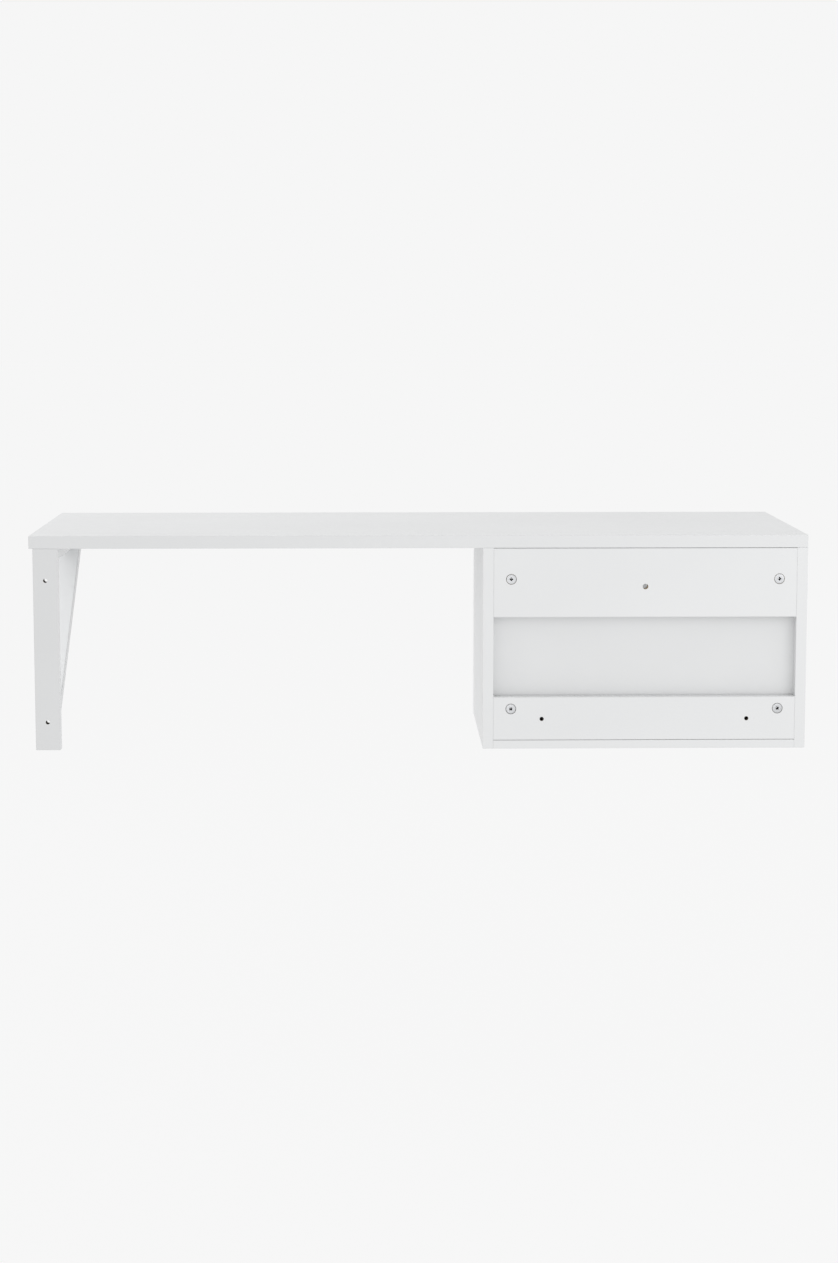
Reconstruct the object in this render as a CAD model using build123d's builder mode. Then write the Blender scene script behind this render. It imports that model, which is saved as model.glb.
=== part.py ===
"""Wall-hung writing desk: a white board top carried by a drawer cabinet at one end and an open
triangular bracket at the other. Millimetres, +Z up. The origin is the middle of the desk top's back
edge, on the wall plane. The front faces -Y, and +X is to the right of a person facing the desk."""

from build123d import *
import os
from math import hypot

# Driving dimensions -------------------------------------------------------------------------
top_width = 1100
top_depth = 400
top_thickness = 18
hang_height = 287  # drop of the cabinet and of the wall strip below the top
under = -top_thickness / 2  # level of the top's underside
foot = under - hang_height  # level of the cabinet's underside

# Boards of the cabinet
cabinet_width = 460
side_thickness = 15
thin_board = 12
carcass_depth = 324
rail_thickness = 15
upper_rail_gap = 0.5
upper_rail_height = 98
lower_rail_drop = 213
lower_rail_height = 61.5
hardboard = 3
hardboard_setback = 18  # from the wall plane to the cabinet's back panel
groove_width = 3.2
groove_depth = 5
edge_round = 0.5

cabinet_left = -top_width / 2
cabinet_right = cabinet_left + cabinet_width
cabinet_middle = (cabinet_left + cabinet_right) / 2
inner_left = cabinet_left + side_thickness
inner_right = cabinet_right - side_thickness
inner_width = inner_right - inner_left
middle_plane = Plane.YZ.offset(cabinet_middle)
shelf_underside = under - upper_rail_gap - upper_rail_height
bottom_level = foot + thin_board  # upper face of the bottom panel

# Drawer
runner_gap = 12.5
drawer_height = 150
drawer_floor = foot + 24  # lower edge of the drawer's sides
front_gap = 1
front_thickness = 15
front_overlap = 10  # how far the drawer front reaches over the shelf's front edge
drawer_back_clearance = 27
drawer_left = inner_left + runner_gap
drawer_inner_left = drawer_left + thin_board
drawer_inner_width = inner_width - 2 * (runner_gap + thin_board)
drawer_top = drawer_floor + drawer_height
drawer_mouth = carcass_depth + front_gap  # from the wall plane to the back of the drawer front
drawer_panel_level = drawer_floor + 10  # underside of the drawer's hardboard bottom
drawer_groove = 6

# Runners and rollers
sheet = 1.2
runner_level = foot + 34
runner_half_height = 13
roller_radius = 8.5
roller_width = 4.4
roller_clearance = 0.3
roller_play = 0.1  # between a roller's far face and its pin's head
pin_radius = 2.0
pin_head_radius = 3.2
pin_head_height = 0.5
bore_clearance = 0.05
roller_start = 4.3  # from the cabinet side's inner face to the roller's near face
front_roller_setback = 312
rear_roller_setback = 40
front_roller_level = runner_level - 2.3
rear_roller_level = runner_level - runner_half_height + sheet + roller_radius + roller_clearance
drawer_flange_level = front_roller_level + roller_radius + roller_clearance

# Knock-down fittings
cam_radius = 7.5
cam_depth = 12.5
cam_reach = 25  # from the joint to the cam's centre
small_cam_radius = 6
small_cam_depth = 9.8
small_cam_reach = 20
bolt_radius = 3
bolt_bore = 4
small_bolt_radius = 2.5
small_bolt_bore = 3.4
bolt_thread = 11
small_bolt_thread = 9
dowel_radius = 4
small_dowel_radius = 3
dowel_behind = 10  # how far a dowel reaches into the board that it is set in
dowel_ahead = 20
end_gap = 0.5  # left free at the bottom of a drilled hole
fit_gap = 0.05
wood_screw_radius = 2
wood_screw_head = 4
wood_screw_head_height = 2
wood_screw_recess = 3.2
back_screw_length = 34
arm_screw_length = 30
runner_screw_radius = 1.75
runner_pilot_radius = 1.8
upper_cam_level = under - 44.4
lower_cam_level = under - 229.8
rail_cam_levels = (upper_cam_level, lower_cam_level)
rail_dowel_levels = (under - 78, under - 258)
top_cam_setbacks = (60, 260)
top_dowel_setbacks = (105, 215)
top_cam_drop = 24
panel_cam_setbacks = (70, 270)
panel_dowel_setback = 170
drawer_cam_levels = (drawer_top - 28, drawer_top - 113)

# Holes for the wall
upper_hole_radius = 4
upper_hole_level = under - 55
wall_hole_radius = 3
lower_hole_spacing = 292
lower_hole_level = under - 244.3
driver_hole_radius = 5

# Bracket
bracket_width = 35
bracket_board = 16
bracket_inset = 5.5
bracket_reach = 320
brace_foot_level = -241.3
bracket_hole_drop = 45
bracket_hole_spacing = 202
bracket_right = top_width / 2 - bracket_inset
bracket_left = bracket_right - bracket_width
bracket_middle = (bracket_left + bracket_right) / 2
arm_underside = under - bracket_board
arm_screw_setbacks = (45, 130, 215)
bracket_dowel_offset = 9

os.makedirs("parts", exist_ok=True)


def save(piece, name):
    """Label a finished piece and write it as its own file."""
    piece.part.label = name
    export_step(piece.part, f"parts/{name}.step")


def span(low_u, low_v, high_u, high_v):
    """A rectangle in the open sketch, given by its corners."""
    with Locations(((low_u + high_u) / 2, (low_v + high_v) / 2)):
        Rectangle(high_u - low_u, high_v - low_v)


def drill(outward, radius, depth, spots):
    """Round holes in the open part, each entering at a spot on a face that looks outward."""
    with Locations(*[Plane(origin=spot, z_dir=outward) for spot in spots]):
        Hole(radius, depth)


def place(shape, planes):
    """Copies of a shape in the open part, one for each plane."""
    with Locations(*planes):
        add(shape)


def make_cam(radius, depth, bolt_level, head_room):
    """A cam lock, face up at the origin, with its bolt channel towards -X."""
    with BuildPart() as cam:
        with BuildSketch():
            Circle(radius)
        extrude(amount=-depth)
        chamfer(cam.edges().group_by(Axis.Z)[-1], 0.4)
        with BuildSketch():
            Rectangle(0.95 * radius, 1.5)
            Rectangle(1.5, 0.95 * radius)
        extrude(amount=-2, mode=Mode.SUBTRACT)
        with BuildSketch(Plane.XY.offset(-bolt_level - head_room)):
            span(-radius - 1, -head_room, head_room + 1, head_room)
        extrude(amount=2 * head_room, mode=Mode.SUBTRACT)
    return cam.part


def make_bolt(radius, thread, reach):
    """A cam bolt along +X: thread behind the joint at the origin, head at the cam's centre."""
    neck = 0.62 * radius
    with BuildPart() as bolt:
        with BuildSketch(Plane.XZ):
            with BuildLine():
                Polyline(
                    (-thread, 0),
                    (-thread, 0.6 * radius),
                    (-thread + 1.5, radius),
                    (0, radius),
                    (0, 1.1 * radius),
                    (1.5, 1.1 * radius),
                    (1.5, 0.9 * radius),
                    (reach - 6, 0.9 * radius),
                    (reach - 5, neck),
                    (reach - 1, neck),
                    (reach - 0.5, radius),
                    (reach + 2, radius),
                    (reach + 2.5, 0.7 * radius),
                    (reach + 2.5, 0),
                    close=True,
                )
            make_face()
        revolve(axis=Axis.X)
    return bolt.part


def make_dowel(radius, behind, ahead):
    """A wooden dowel along X through the origin, with chamfered ends."""
    with BuildPart() as dowel:
        with BuildSketch(Plane.YZ.offset(-behind)):
            Circle(radius)
        extrude(amount=behind + ahead)
        chamfer(dowel.edges().filter_by(GeomType.CIRCLE), 0.8)
    return dowel.part


def make_screw(radius, length, head_radius, head_height, recess, sunk=False):
    """A screw along -Z with the underside of its head, or its sunk face, at the origin."""
    head_top = 0 if sunk else head_height
    with BuildPart() as screw:
        with BuildSketch(Plane.XZ):
            with BuildLine():
                if sunk:
                    head = [(head_radius, 0), (radius, -head_height)]
                else:
                    head = [(0.75 * head_radius, head_height), (head_radius, 0.3 * head_height)]
                    head += [(head_radius, 0), (radius, 0)]
                tip = [(radius, 2 * radius - length), (0, -length)]
                Polyline([(0, head_top)] + head + tip, close=True)
            make_face()
        revolve(axis=Axis.Z)
        with BuildSketch(Plane.XY.offset(head_top)):
            Rectangle(recess, recess / 4)
            Rectangle(recess / 4, recess)
        extrude(amount=-0.6 * head_height, mode=Mode.SUBTRACT)
    return screw.part


cam = make_cam(cam_radius - fit_gap, cam_depth - 0.2, rail_thickness / 2, bolt_radius + 0.5)
small_cam = make_cam(
    small_cam_radius - fit_gap, small_cam_depth - 0.2, thin_board / 2, small_bolt_radius + 0.4
)
rail_bolt = make_bolt(bolt_radius, bolt_thread, cam_reach)
top_bolt = make_bolt(bolt_radius, bolt_thread, top_cam_drop)
small_bolt = make_bolt(small_bolt_radius, small_bolt_thread, small_cam_reach)
dowel = make_dowel(dowel_radius, 10, 20)
small_dowel = make_dowel(small_dowel_radius, 10, 20)

# Places that a board and its fitting share, on the cabinet's left side ------------------------
rail_axis = -rail_thickness / 2
panel_levels = (shelf_underside, foot)
rail_bolt_spots = [(inner_left, rail_axis, level) for level in rail_cam_levels]
rail_dowel_spots = [(inner_left, rail_axis, level) for level in rail_dowel_levels]
side_axis = cabinet_left + side_thickness / 2
top_bolt_spots = [(side_axis, -setback, under) for setback in top_cam_setbacks]
top_dowel_spots = [(side_axis, -setback, under) for setback in top_dowel_setbacks]
panel_bolt_spots = {
    level: [(inner_left, -setback, level + thin_board / 2) for setback in panel_cam_setbacks]
    for level in panel_levels
}
panel_dowel_spots = {
    level: [(inner_left, -panel_dowel_setback, level + thin_board / 2)] for level in panel_levels
}
drawer_axis = drawer_left + thin_board / 2
drawer_bolt_spots = [(drawer_axis, -drawer_mouth, level) for level in drawer_cam_levels]
drawer_back_middle = -drawer_back_clearance - thin_board / 2
back_screw_spots = [(drawer_left, drawer_back_middle, level) for level in drawer_cam_levels]
runner_screw_setbacks = (285, 175, 65)
case_screw_spots = [(inner_left + sheet, -s, runner_level + 1) for s in runner_screw_setbacks]
box_screw_spots = [(drawer_left - sheet, -s, runner_level - 1.5) for s in (300, 190, 80)]


def mirrored(spots):
    """Spots on the cabinet's left side with their mirror images on the right."""
    return spots + [(2 * cabinet_middle - x, y, z) for x, y, z in spots]


def drill_ends(radius, depth, spots):
    """Holes in both ends of the open board, from spots on its left end and their mirror images."""
    drill((-1, 0, 0), radius, depth, spots)
    drill((1, 0, 0), radius, depth, mirrored(spots)[len(spots):])


def drill_end_dowels(radius, spots):
    """Dowel holes in both ends of the open board."""
    drill_ends(radius + fit_gap, dowel_ahead + end_gap, spots)


# Desk top --------------------------------------------------------------------------------------
with BuildPart() as desk_top:
    with BuildSketch(Plane.XY.offset(under)):
        span(-top_width / 2, -top_depth, top_width / 2, 0)
    extrude(amount=top_thickness)
    fillet(desk_top.edges(), 0.8)
    drill((0, 0, -1), bolt_radius + fit_gap, bolt_thread + end_gap, mirrored(top_bolt_spots))
    drill((0, 0, -1), dowel_radius + fit_gap, dowel_behind + end_gap, mirrored(top_dowel_spots))
    arm_pilots = [(bracket_middle, -s, under) for s in arm_screw_setbacks]
    pilot_depth = arm_screw_length - bracket_board + end_gap
    drill((0, 0, -1), wood_screw_radius + fit_gap, pilot_depth, arm_pilots)
save(desk_top, "desk_top")

# Cabinet boards --------------------------------------------------------------------------------
with BuildPart() as cabinet_side_left:
    with BuildSketch(Plane.YZ.offset(cabinet_left)):
        span(-carcass_depth, foot, 0, under)
    extrude(amount=side_thickness)
    fillet(cabinet_side_left.edges(), edge_round)
    with BuildSketch(Plane.YZ.offset(inner_left)):
        span(
            -hardboard_setback - groove_width,
            foot + thin_board - groove_depth,
            -hardboard_setback,
            shelf_underside + groove_depth,
        )
    extrude(amount=-groove_depth, mode=Mode.SUBTRACT)
    drill((1, 0, 0), bolt_radius + fit_gap, bolt_thread + end_gap, rail_bolt_spots)
    drill((1, 0, 0), dowel_radius + fit_gap, dowel_behind + end_gap, rail_dowel_spots)
    thread_depth = small_bolt_thread + end_gap
    for level in panel_levels:
        drill((1, 0, 0), small_bolt_radius + fit_gap, thread_depth, panel_bolt_spots[level])
        set_depth = dowel_behind + end_gap
        drill((1, 0, 0), small_dowel_radius + fit_gap, set_depth, panel_dowel_spots[level])
    cam_spots = [(inner_left, -s, under - top_cam_drop) for s in top_cam_setbacks]
    drill((1, 0, 0), cam_radius, cam_depth, cam_spots)
    drill((0, 0, 1), bolt_bore, top_cam_drop + 3, top_bolt_spots)
    drill((0, 0, 1), dowel_radius + fit_gap, dowel_ahead + end_gap, top_dowel_spots)
    pilot_spots = [(inner_left, y, z) for x, y, z in case_screw_spots]
    drill((1, 0, 0), runner_pilot_radius, 11, pilot_spots)
save(cabinet_side_left, "cabinet_side_left")

with BuildPart() as cabinet_side_right:
    add(cabinet_side_left.part)
    mirror(about=middle_plane, mode=Mode.REPLACE)
save(cabinet_side_right, "cabinet_side_right")

with BuildPart() as upper_rail:
    with BuildSketch(Plane.XZ):
        span(inner_left, shelf_underside, inner_right, under - upper_rail_gap)
    extrude(amount=rail_thickness)
    fillet(upper_rail.edges(), edge_round)
    drill((0, 1, 0), upper_hole_radius, None, [(cabinet_middle, 0, upper_hole_level)])
    drill((0, 1, 0), cam_radius, cam_depth, mirrored([(inner_left + cam_reach, 0, upper_cam_level)]))
    drill_ends(bolt_bore, cam_reach + 3, rail_bolt_spots[:1])
    drill_end_dowels(dowel_radius, rail_dowel_spots[:1])
save(upper_rail, "upper_rail")

lower_rail_top = under - lower_rail_drop
lower_holes = [
    (cabinet_middle + side * lower_hole_spacing / 2, 0, lower_hole_level) for side in (-1, 1)
]
with BuildPart() as lower_rail:
    with BuildSketch(Plane.XZ):
        span(inner_left, lower_rail_top - lower_rail_height, inner_right, lower_rail_top)
    extrude(amount=rail_thickness)
    fillet(lower_rail.edges(), edge_round)
    drill((0, 1, 0), wall_hole_radius, None, lower_holes)
    drill((0, 1, 0), cam_radius, cam_depth, mirrored([(inner_left + cam_reach, 0, lower_cam_level)]))
    drill_ends(bolt_bore, cam_reach + 3, rail_bolt_spots[1:])
    drill_end_dowels(dowel_radius, rail_dowel_spots[1:])
save(lower_rail, "lower_rail")


def drill_thin_panel(underside):
    """Cam, bolt and dowel holes of the open thin panel, whose underside is at this level."""
    cam_spots = [(inner_left + small_cam_reach, -s, underside) for s in panel_cam_setbacks]
    drill((0, 0, -1), small_cam_radius, small_cam_depth, mirrored(cam_spots))
    drill_ends(small_bolt_bore, small_cam_reach + 3, panel_bolt_spots[underside])
    drill_end_dowels(small_dowel_radius, panel_dowel_spots[underside])


with BuildPart() as shelf:
    with BuildSketch(Plane.XY.offset(shelf_underside)):
        span(inner_left, -carcass_depth, inner_right, -rail_thickness)
    extrude(amount=thin_board)
    fillet(shelf.edges(), edge_round)
    with BuildSketch(Plane.XY.offset(shelf_underside)):
        span(inner_left, -hardboard_setback - groove_width, inner_right, -hardboard_setback)
    extrude(amount=groove_depth, mode=Mode.SUBTRACT)
    drill_thin_panel(shelf_underside)
save(shelf, "shelf")

with BuildPart() as bottom_panel:
    with BuildSketch(Plane.XY.offset(foot)):
        span(inner_left, -carcass_depth, inner_right, 0)
    extrude(amount=thin_board)
    fillet(bottom_panel.edges(), edge_round)
    with BuildSketch(Plane.XY.offset(bottom_level)):
        span(inner_left, -hardboard_setback - groove_width, inner_right, -hardboard_setback)
    extrude(amount=-groove_depth, mode=Mode.SUBTRACT)
    drill_thin_panel(foot)
save(bottom_panel, "bottom_panel")

panel_in_groove = groove_depth - 0.5
with BuildPart() as back_panel:
    with BuildSketch(Plane.XZ.offset(hardboard_setback + (groove_width - hardboard) / 2)):
        span(
            inner_left - panel_in_groove,
            bottom_level - panel_in_groove,
            inner_right + panel_in_groove,
            shelf_underside + panel_in_groove,
        )
    extrude(amount=hardboard)
    driver_spots = [(x, -hardboard_setback, z) for x, y, z in lower_holes]
    drill((0, 1, 0), driver_hole_radius, None, driver_spots)
save(back_panel, "back_panel")

# Cabinet fittings ------------------------------------------------------------------------------
with BuildPart() as rail_cam_locks:
    for level in rail_cam_levels:
        spot = (inner_left + cam_reach, 0, level)
        place(cam, [Plane(origin=spot, x_dir=(1, 0, 0), z_dir=(0, 1, 0))])
    mirror(about=middle_plane)
save(rail_cam_locks, "rail_cam_locks")

with BuildPart() as rail_cam_bolts:
    place(rail_bolt, [Plane(origin=spot) for spot in rail_bolt_spots])
    mirror(about=middle_plane)
save(rail_cam_bolts, "rail_cam_bolts")

with BuildPart() as rail_dowels:
    place(dowel, [Plane(origin=spot) for spot in rail_dowel_spots])
    mirror(about=middle_plane)
save(rail_dowels, "rail_dowels")

with BuildPart() as top_cam_locks:
    for setback in top_cam_setbacks:
        spot = (inner_left, -setback, under - top_cam_drop)
        place(cam, [Plane(origin=spot, x_dir=(0, 0, -1), z_dir=(1, 0, 0))])
    mirror(about=middle_plane)
save(top_cam_locks, "top_cam_locks")

with BuildPart() as top_cam_bolts:
    downward = [Plane(origin=s, x_dir=(0, 0, -1), z_dir=(1, 0, 0)) for s in top_bolt_spots]
    place(top_bolt, downward)
    mirror(about=middle_plane)
save(top_cam_bolts, "top_cam_bolts")

with BuildPart() as top_dowels:
    downward = [Plane(origin=s, x_dir=(0, 0, -1), z_dir=(1, 0, 0)) for s in top_dowel_spots]
    place(dowel, downward)
    mirror(about=middle_plane)
save(top_dowels, "top_dowels")

for name, underside in (("shelf", shelf_underside), ("bottom", foot)):
    with BuildPart() as panel_cam_locks:
        for setback in panel_cam_setbacks:
            spot = (inner_left + small_cam_reach, -setback, underside)
            place(small_cam, [Plane(origin=spot, x_dir=(1, 0, 0), z_dir=(0, 0, -1))])
        mirror(about=middle_plane)
    save(panel_cam_locks, f"{name}_cam_locks")

    with BuildPart() as panel_cam_bolts:
        place(small_bolt, [Plane(origin=spot) for spot in panel_bolt_spots[underside]])
        mirror(about=middle_plane)
    save(panel_cam_bolts, f"{name}_cam_bolts")

    with BuildPart() as panel_dowels:
        place(small_dowel, [Plane(origin=spot) for spot in panel_dowel_spots[underside]])
        mirror(about=middle_plane)
    save(panel_dowels, f"{name}_dowels")

# Drawer ----------------------------------------------------------------------------------------
knob_level = (shelf_underside + front_overlap + foot) / 2
knob_screw_radius = 2
with BuildPart() as drawer_front:
    with BuildSketch(Plane.XZ.offset(drawer_mouth)):
        span(cabinet_left + 1, foot + 1, cabinet_right - 1, shelf_underside + front_overlap)
    extrude(amount=front_thickness)
    fillet(drawer_front.edges(), 0.8)
    with BuildSketch(Plane.XZ.offset(drawer_mouth)):
        span(
            drawer_inner_left - drawer_groove,
            drawer_panel_level,
            drawer_inner_left + drawer_inner_width + drawer_groove,
            drawer_panel_level + groove_width,
        )
    extrude(amount=drawer_groove, mode=Mode.SUBTRACT)
    drill((0, 1, 0), small_bolt_radius + fit_gap, thread_depth, mirrored(drawer_bolt_spots))
    knob_hole = [(cabinet_middle, -drawer_mouth, knob_level)]
    drill((0, 1, 0), knob_screw_radius + 0.1, front_thickness, knob_hole)
save(drawer_front, "drawer_front")

with BuildPart() as drawer_side_left:
    with BuildSketch(Plane.YZ.offset(drawer_left)):
        span(-drawer_mouth, drawer_floor, -drawer_back_clearance, drawer_top)
    extrude(amount=thin_board)
    fillet(drawer_side_left.edges(), edge_round)
    with BuildSketch(Plane.YZ.offset(drawer_inner_left)):
        span(
            -drawer_mouth,
            drawer_panel_level,
            -drawer_back_clearance,
            drawer_panel_level + groove_width,
        )
    extrude(amount=-drawer_groove, mode=Mode.SUBTRACT)
    cam_spots = [(drawer_inner_left, small_cam_reach - drawer_mouth, z) for z in drawer_cam_levels]
    drill((1, 0, 0), small_cam_radius, small_cam_depth, cam_spots)
    drill((0, -1, 0), small_bolt_bore, small_cam_reach + 3, drawer_bolt_spots)
    with Locations(*[Plane(origin=spot, z_dir=(-1, 0, 0)) for spot in back_screw_spots]):
        CounterSinkHole(wood_screw_radius + fit_gap, wood_screw_head + 2 * fit_gap)
    pilot_spots = [(drawer_left, y, z) for x, y, z in box_screw_spots]
    drill((-1, 0, 0), runner_pilot_radius, 10.5, pilot_spots)
save(drawer_side_left, "drawer_side_left")

with BuildPart() as drawer_side_right:
    add(drawer_side_left.part)
    mirror(about=middle_plane, mode=Mode.REPLACE)
save(drawer_side_right, "drawer_side_right")

with BuildPart() as drawer_back:
    with BuildSketch(Plane.XZ.offset(drawer_back_clearance)):
        span(
            drawer_inner_left,
            drawer_floor + 2,
            drawer_inner_left + drawer_inner_width,
            drawer_top - 4,
        )
    extrude(amount=thin_board)
    fillet(drawer_back.edges(), edge_round)
    with BuildSketch(Plane.XZ.offset(drawer_back_clearance + thin_board)):
        span(
            drawer_inner_left,
            drawer_panel_level,
            drawer_inner_left + drawer_inner_width,
            drawer_panel_level + groove_width,
        )
    extrude(amount=-drawer_groove, mode=Mode.SUBTRACT)
    end_spots = [(drawer_inner_left, y, z) for x, y, z in back_screw_spots]
    drill_ends(wood_screw_radius + fit_gap, back_screw_length - thin_board + 2, end_spots)
save(drawer_back, "drawer_back")

panel_rest = drawer_groove - 0.5
with BuildPart() as drawer_bottom:
    with BuildSketch(Plane.XY.offset(drawer_panel_level + (groove_width - hardboard) / 2)):
        span(
            drawer_inner_left - panel_rest,
            -drawer_mouth - panel_rest,
            drawer_inner_left + drawer_inner_width + panel_rest,
            -drawer_back_clearance - thin_board + panel_rest,
        )
    extrude(amount=hardboard)
save(drawer_bottom, "drawer_bottom")

with BuildPart() as drawer_cam_locks:
    for level in drawer_cam_levels:
        spot = (drawer_inner_left, small_cam_reach - drawer_mouth, level)
        place(small_cam, [Plane(origin=spot, x_dir=(0, 1, 0), z_dir=(1, 0, 0))])
    mirror(about=middle_plane)
save(drawer_cam_locks, "drawer_cam_locks")

with BuildPart() as drawer_cam_bolts:
    backward = [Plane(origin=s, x_dir=(0, 1, 0), z_dir=(1, 0, 0)) for s in drawer_bolt_spots]
    place(small_bolt, backward)
    mirror(about=middle_plane)
save(drawer_cam_bolts, "drawer_cam_bolts")



def make_wood_screw(length):
    """A sunk wood screw with a cross recess."""
    return make_screw(
        wood_screw_radius,
        length,
        wood_screw_head,
        wood_screw_head_height,
        wood_screw_recess,
        sunk=True,
    )


back_screw = make_wood_screw(back_screw_length)
with BuildPart() as drawer_back_screws:
    place(back_screw, [Plane(origin=spot, z_dir=(-1, 0, 0)) for spot in back_screw_spots])
    mirror(about=middle_plane)
save(drawer_back_screws, "drawer_back_screws")

# Turned knob and its machine screw -------------------------------------------------------------
knob_face = -drawer_mouth - front_thickness
with BuildPart() as drawer_knob:
    with BuildSketch(Plane.YZ.offset(cabinet_middle)):
        with BuildLine():
            base = Polyline(
                (knob_face, knob_level + knob_screw_radius + fit_gap),
                (knob_face, knob_level + 9),
                (knob_face - 1.5, knob_level + 9),
                (knob_face - 4, knob_level + 6),
                (knob_face - 12, knob_level + 6),
            )
            flare_middle = (knob_face - 16, knob_level + 8.6)
            flare = ThreePointArc(base @ 1, flare_middle, (knob_face - 18, knob_level + 14))
            rim = Polyline(
                flare @ 1,
                (knob_face - 21, knob_level + 14),
                (knob_face - 22.5, knob_level + 12.5),
            )
            crown = TangentArc((knob_face - 24, knob_level), rim @ 1, tangent=(0, 1))
            Polyline(
                crown @ 0,
                (knob_face - 10, knob_level),
                (knob_face - 10, knob_level + knob_screw_radius + fit_gap),
                base @ 0,
            )
        make_face()
    revolve(axis=Axis((cabinet_middle, 0, knob_level), (0, 1, 0)))
save(drawer_knob, "drawer_knob")

knob_screw_length = front_thickness + 9
knob_screw_piece = make_screw(knob_screw_radius, knob_screw_length, 4, 2.2, wood_screw_recess)
with BuildPart() as knob_screw:
    place(knob_screw_piece, [Plane(origin=knob_hole[0], z_dir=(0, 1, 0))])
save(knob_screw, "knob_screw")

# Roller runners --------------------------------------------------------------------------------
runner_start = 24
runner_end = carcass_depth - 2
with BuildPart() as cabinet_runner_left:
    with BuildSketch(Plane.XZ.offset(runner_start)):
        low = runner_level - runner_half_height
        high = runner_level + runner_half_height
        span(inner_left, low, inner_left + sheet, high)
        span(inner_left, low, inner_left + 9.6, low + sheet)
        span(inner_left, high - sheet, inner_left + 8, high)
    extrude(amount=runner_end - runner_start)
    screw_holes = [(x + sheet, y, z) for x, y, z in case_screw_spots]
    drill((1, 0, 0), runner_pilot_radius, 2 * sheet, screw_holes)
    front_pin_spot = (inner_left + sheet, -front_roller_setback, front_roller_level)
    drill((1, 0, 0), pin_radius, sheet, [front_pin_spot])
save(cabinet_runner_left, "cabinet_runner_left")

with BuildPart() as drawer_runner_left:
    with BuildSketch(Plane.XZ.offset(drawer_back_clearance + 2)):
        web_x = drawer_left - sheet
        low = drawer_floor - sheet
        span(web_x, low, drawer_left, drawer_flange_level + sheet)
        span(web_x, low, drawer_left + 9, drawer_floor)
        span(inner_left + roller_start, drawer_flange_level, drawer_left, drawer_flange_level + sheet)
    extrude(amount=drawer_mouth - 2 - drawer_back_clearance - 2)
    screw_holes = [(x - sheet, y, z) for x, y, z in box_screw_spots]
    drill((-1, 0, 0), runner_pilot_radius, 2 * sheet, screw_holes)
    rear_pin_spot = (drawer_left - sheet, -rear_roller_setback, rear_roller_level)
    drill((-1, 0, 0), pin_radius, sheet, [rear_pin_spot])
save(drawer_runner_left, "drawer_runner_left")

for name, left_piece in (("cabinet", cabinet_runner_left), ("drawer", drawer_runner_left)):
    with BuildPart() as runner_right:
        add(left_piece.part)
        mirror(about=middle_plane, mode=Mode.REPLACE)
    save(runner_right, f"{name}_runner_right")


def make_pin(length):
    """A riveted pin along -Z from the origin, with its head at the far end."""
    with BuildPart() as pin:
        with BuildSketch():
            Circle(pin_radius)
        extrude(amount=-length)
        with BuildSketch(Plane.XY.offset(-length)):
            Circle(pin_head_radius)
        extrude(amount=-pin_head_height)
    return pin.part


pin_length = roller_start + roller_width + roller_play
with BuildPart() as cabinet_roller_pins:
    spot = (inner_left, -front_roller_setback, front_roller_level)
    place(make_pin(pin_length), [Plane(origin=spot, z_dir=(-1, 0, 0))])
    mirror(about=middle_plane)
save(cabinet_roller_pins, "cabinet_roller_pins")

with BuildPart() as drawer_roller_pins:
    spot = (drawer_left, -rear_roller_setback, rear_roller_level)
    drawer_pin_length = runner_gap - roller_start + roller_play
    place(make_pin(drawer_pin_length), [Plane(origin=spot, z_dir=(1, 0, 0))])
    mirror(about=middle_plane)
save(drawer_roller_pins, "drawer_roller_pins")

roller_places = {
    "front_roller": (inner_left + roller_start, -front_roller_setback, front_roller_level),
    "rear_roller": (inner_left + roller_start, -rear_roller_setback, rear_roller_level),
}
for name, spot in roller_places.items():
    with BuildPart() as roller:
        with BuildSketch(Plane(origin=spot, z_dir=(1, 0, 0))):
            Circle(roller_radius)
            Circle(pin_radius + bore_clearance, mode=Mode.SUBTRACT)
        extrude(amount=roller_width)
        tread = roller.edges().filter_by(GeomType.CIRCLE).sort_by(SortBy.RADIUS)[-2:]
        fillet(tread, 0.6)
    save(roller, f"{name}_left")
    with BuildPart() as roller_right:
        add(roller.part)
        mirror(about=middle_plane, mode=Mode.REPLACE)
    save(roller_right, f"{name}_right")

runner_screw = make_screw(runner_screw_radius, 12, 3, 1.5, 2.6)
with BuildPart() as cabinet_runner_screws:
    place(runner_screw, [Plane(origin=spot, z_dir=(1, 0, 0)) for spot in case_screw_spots])
    mirror(about=middle_plane)
save(cabinet_runner_screws, "cabinet_runner_screws")

box_screw = make_screw(runner_screw_radius, 11, 3, 1.5, 2.6)
with BuildPart() as drawer_runner_screws:
    place(box_screw, [Plane(origin=spot, z_dir=(-1, 0, 0)) for spot in box_screw_spots])
    mirror(about=middle_plane)
save(drawer_runner_screws, "drawer_runner_screws")

# Triangular wall bracket -----------------------------------------------------------------------
brace_run = bracket_reach - bracket_board
brace_fall = arm_underside - brace_foot_level
brace_length = hypot(brace_run, brace_fall)
toward_wall = brace_run / brace_length  # the brace's direction, down towards the wall
downward_share = brace_fall / brace_length
inner_head = -bracket_reach + bracket_board / downward_share
inner_foot = brace_foot_level + bracket_board / toward_wall
brace_head_middle = (bracket_middle, (inner_head - bracket_reach) / 2, arm_underside)
brace_foot_middle = (bracket_middle, -bracket_board, (inner_foot + brace_foot_level) / 2)
brace_axis = (0, toward_wall, -downward_share)
dowel_sides = (-bracket_dowel_offset, bracket_dowel_offset)


def brace_planes(middle, along):
    """Planes whose X runs along a dowel, one for each dowel across the bracket's width."""
    spots = [(middle[0] + side, middle[1], middle[2]) for side in dowel_sides]
    return [Plane(origin=spot, x_dir=along, z_dir=(1, 0, 0)) for spot in spots]


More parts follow.
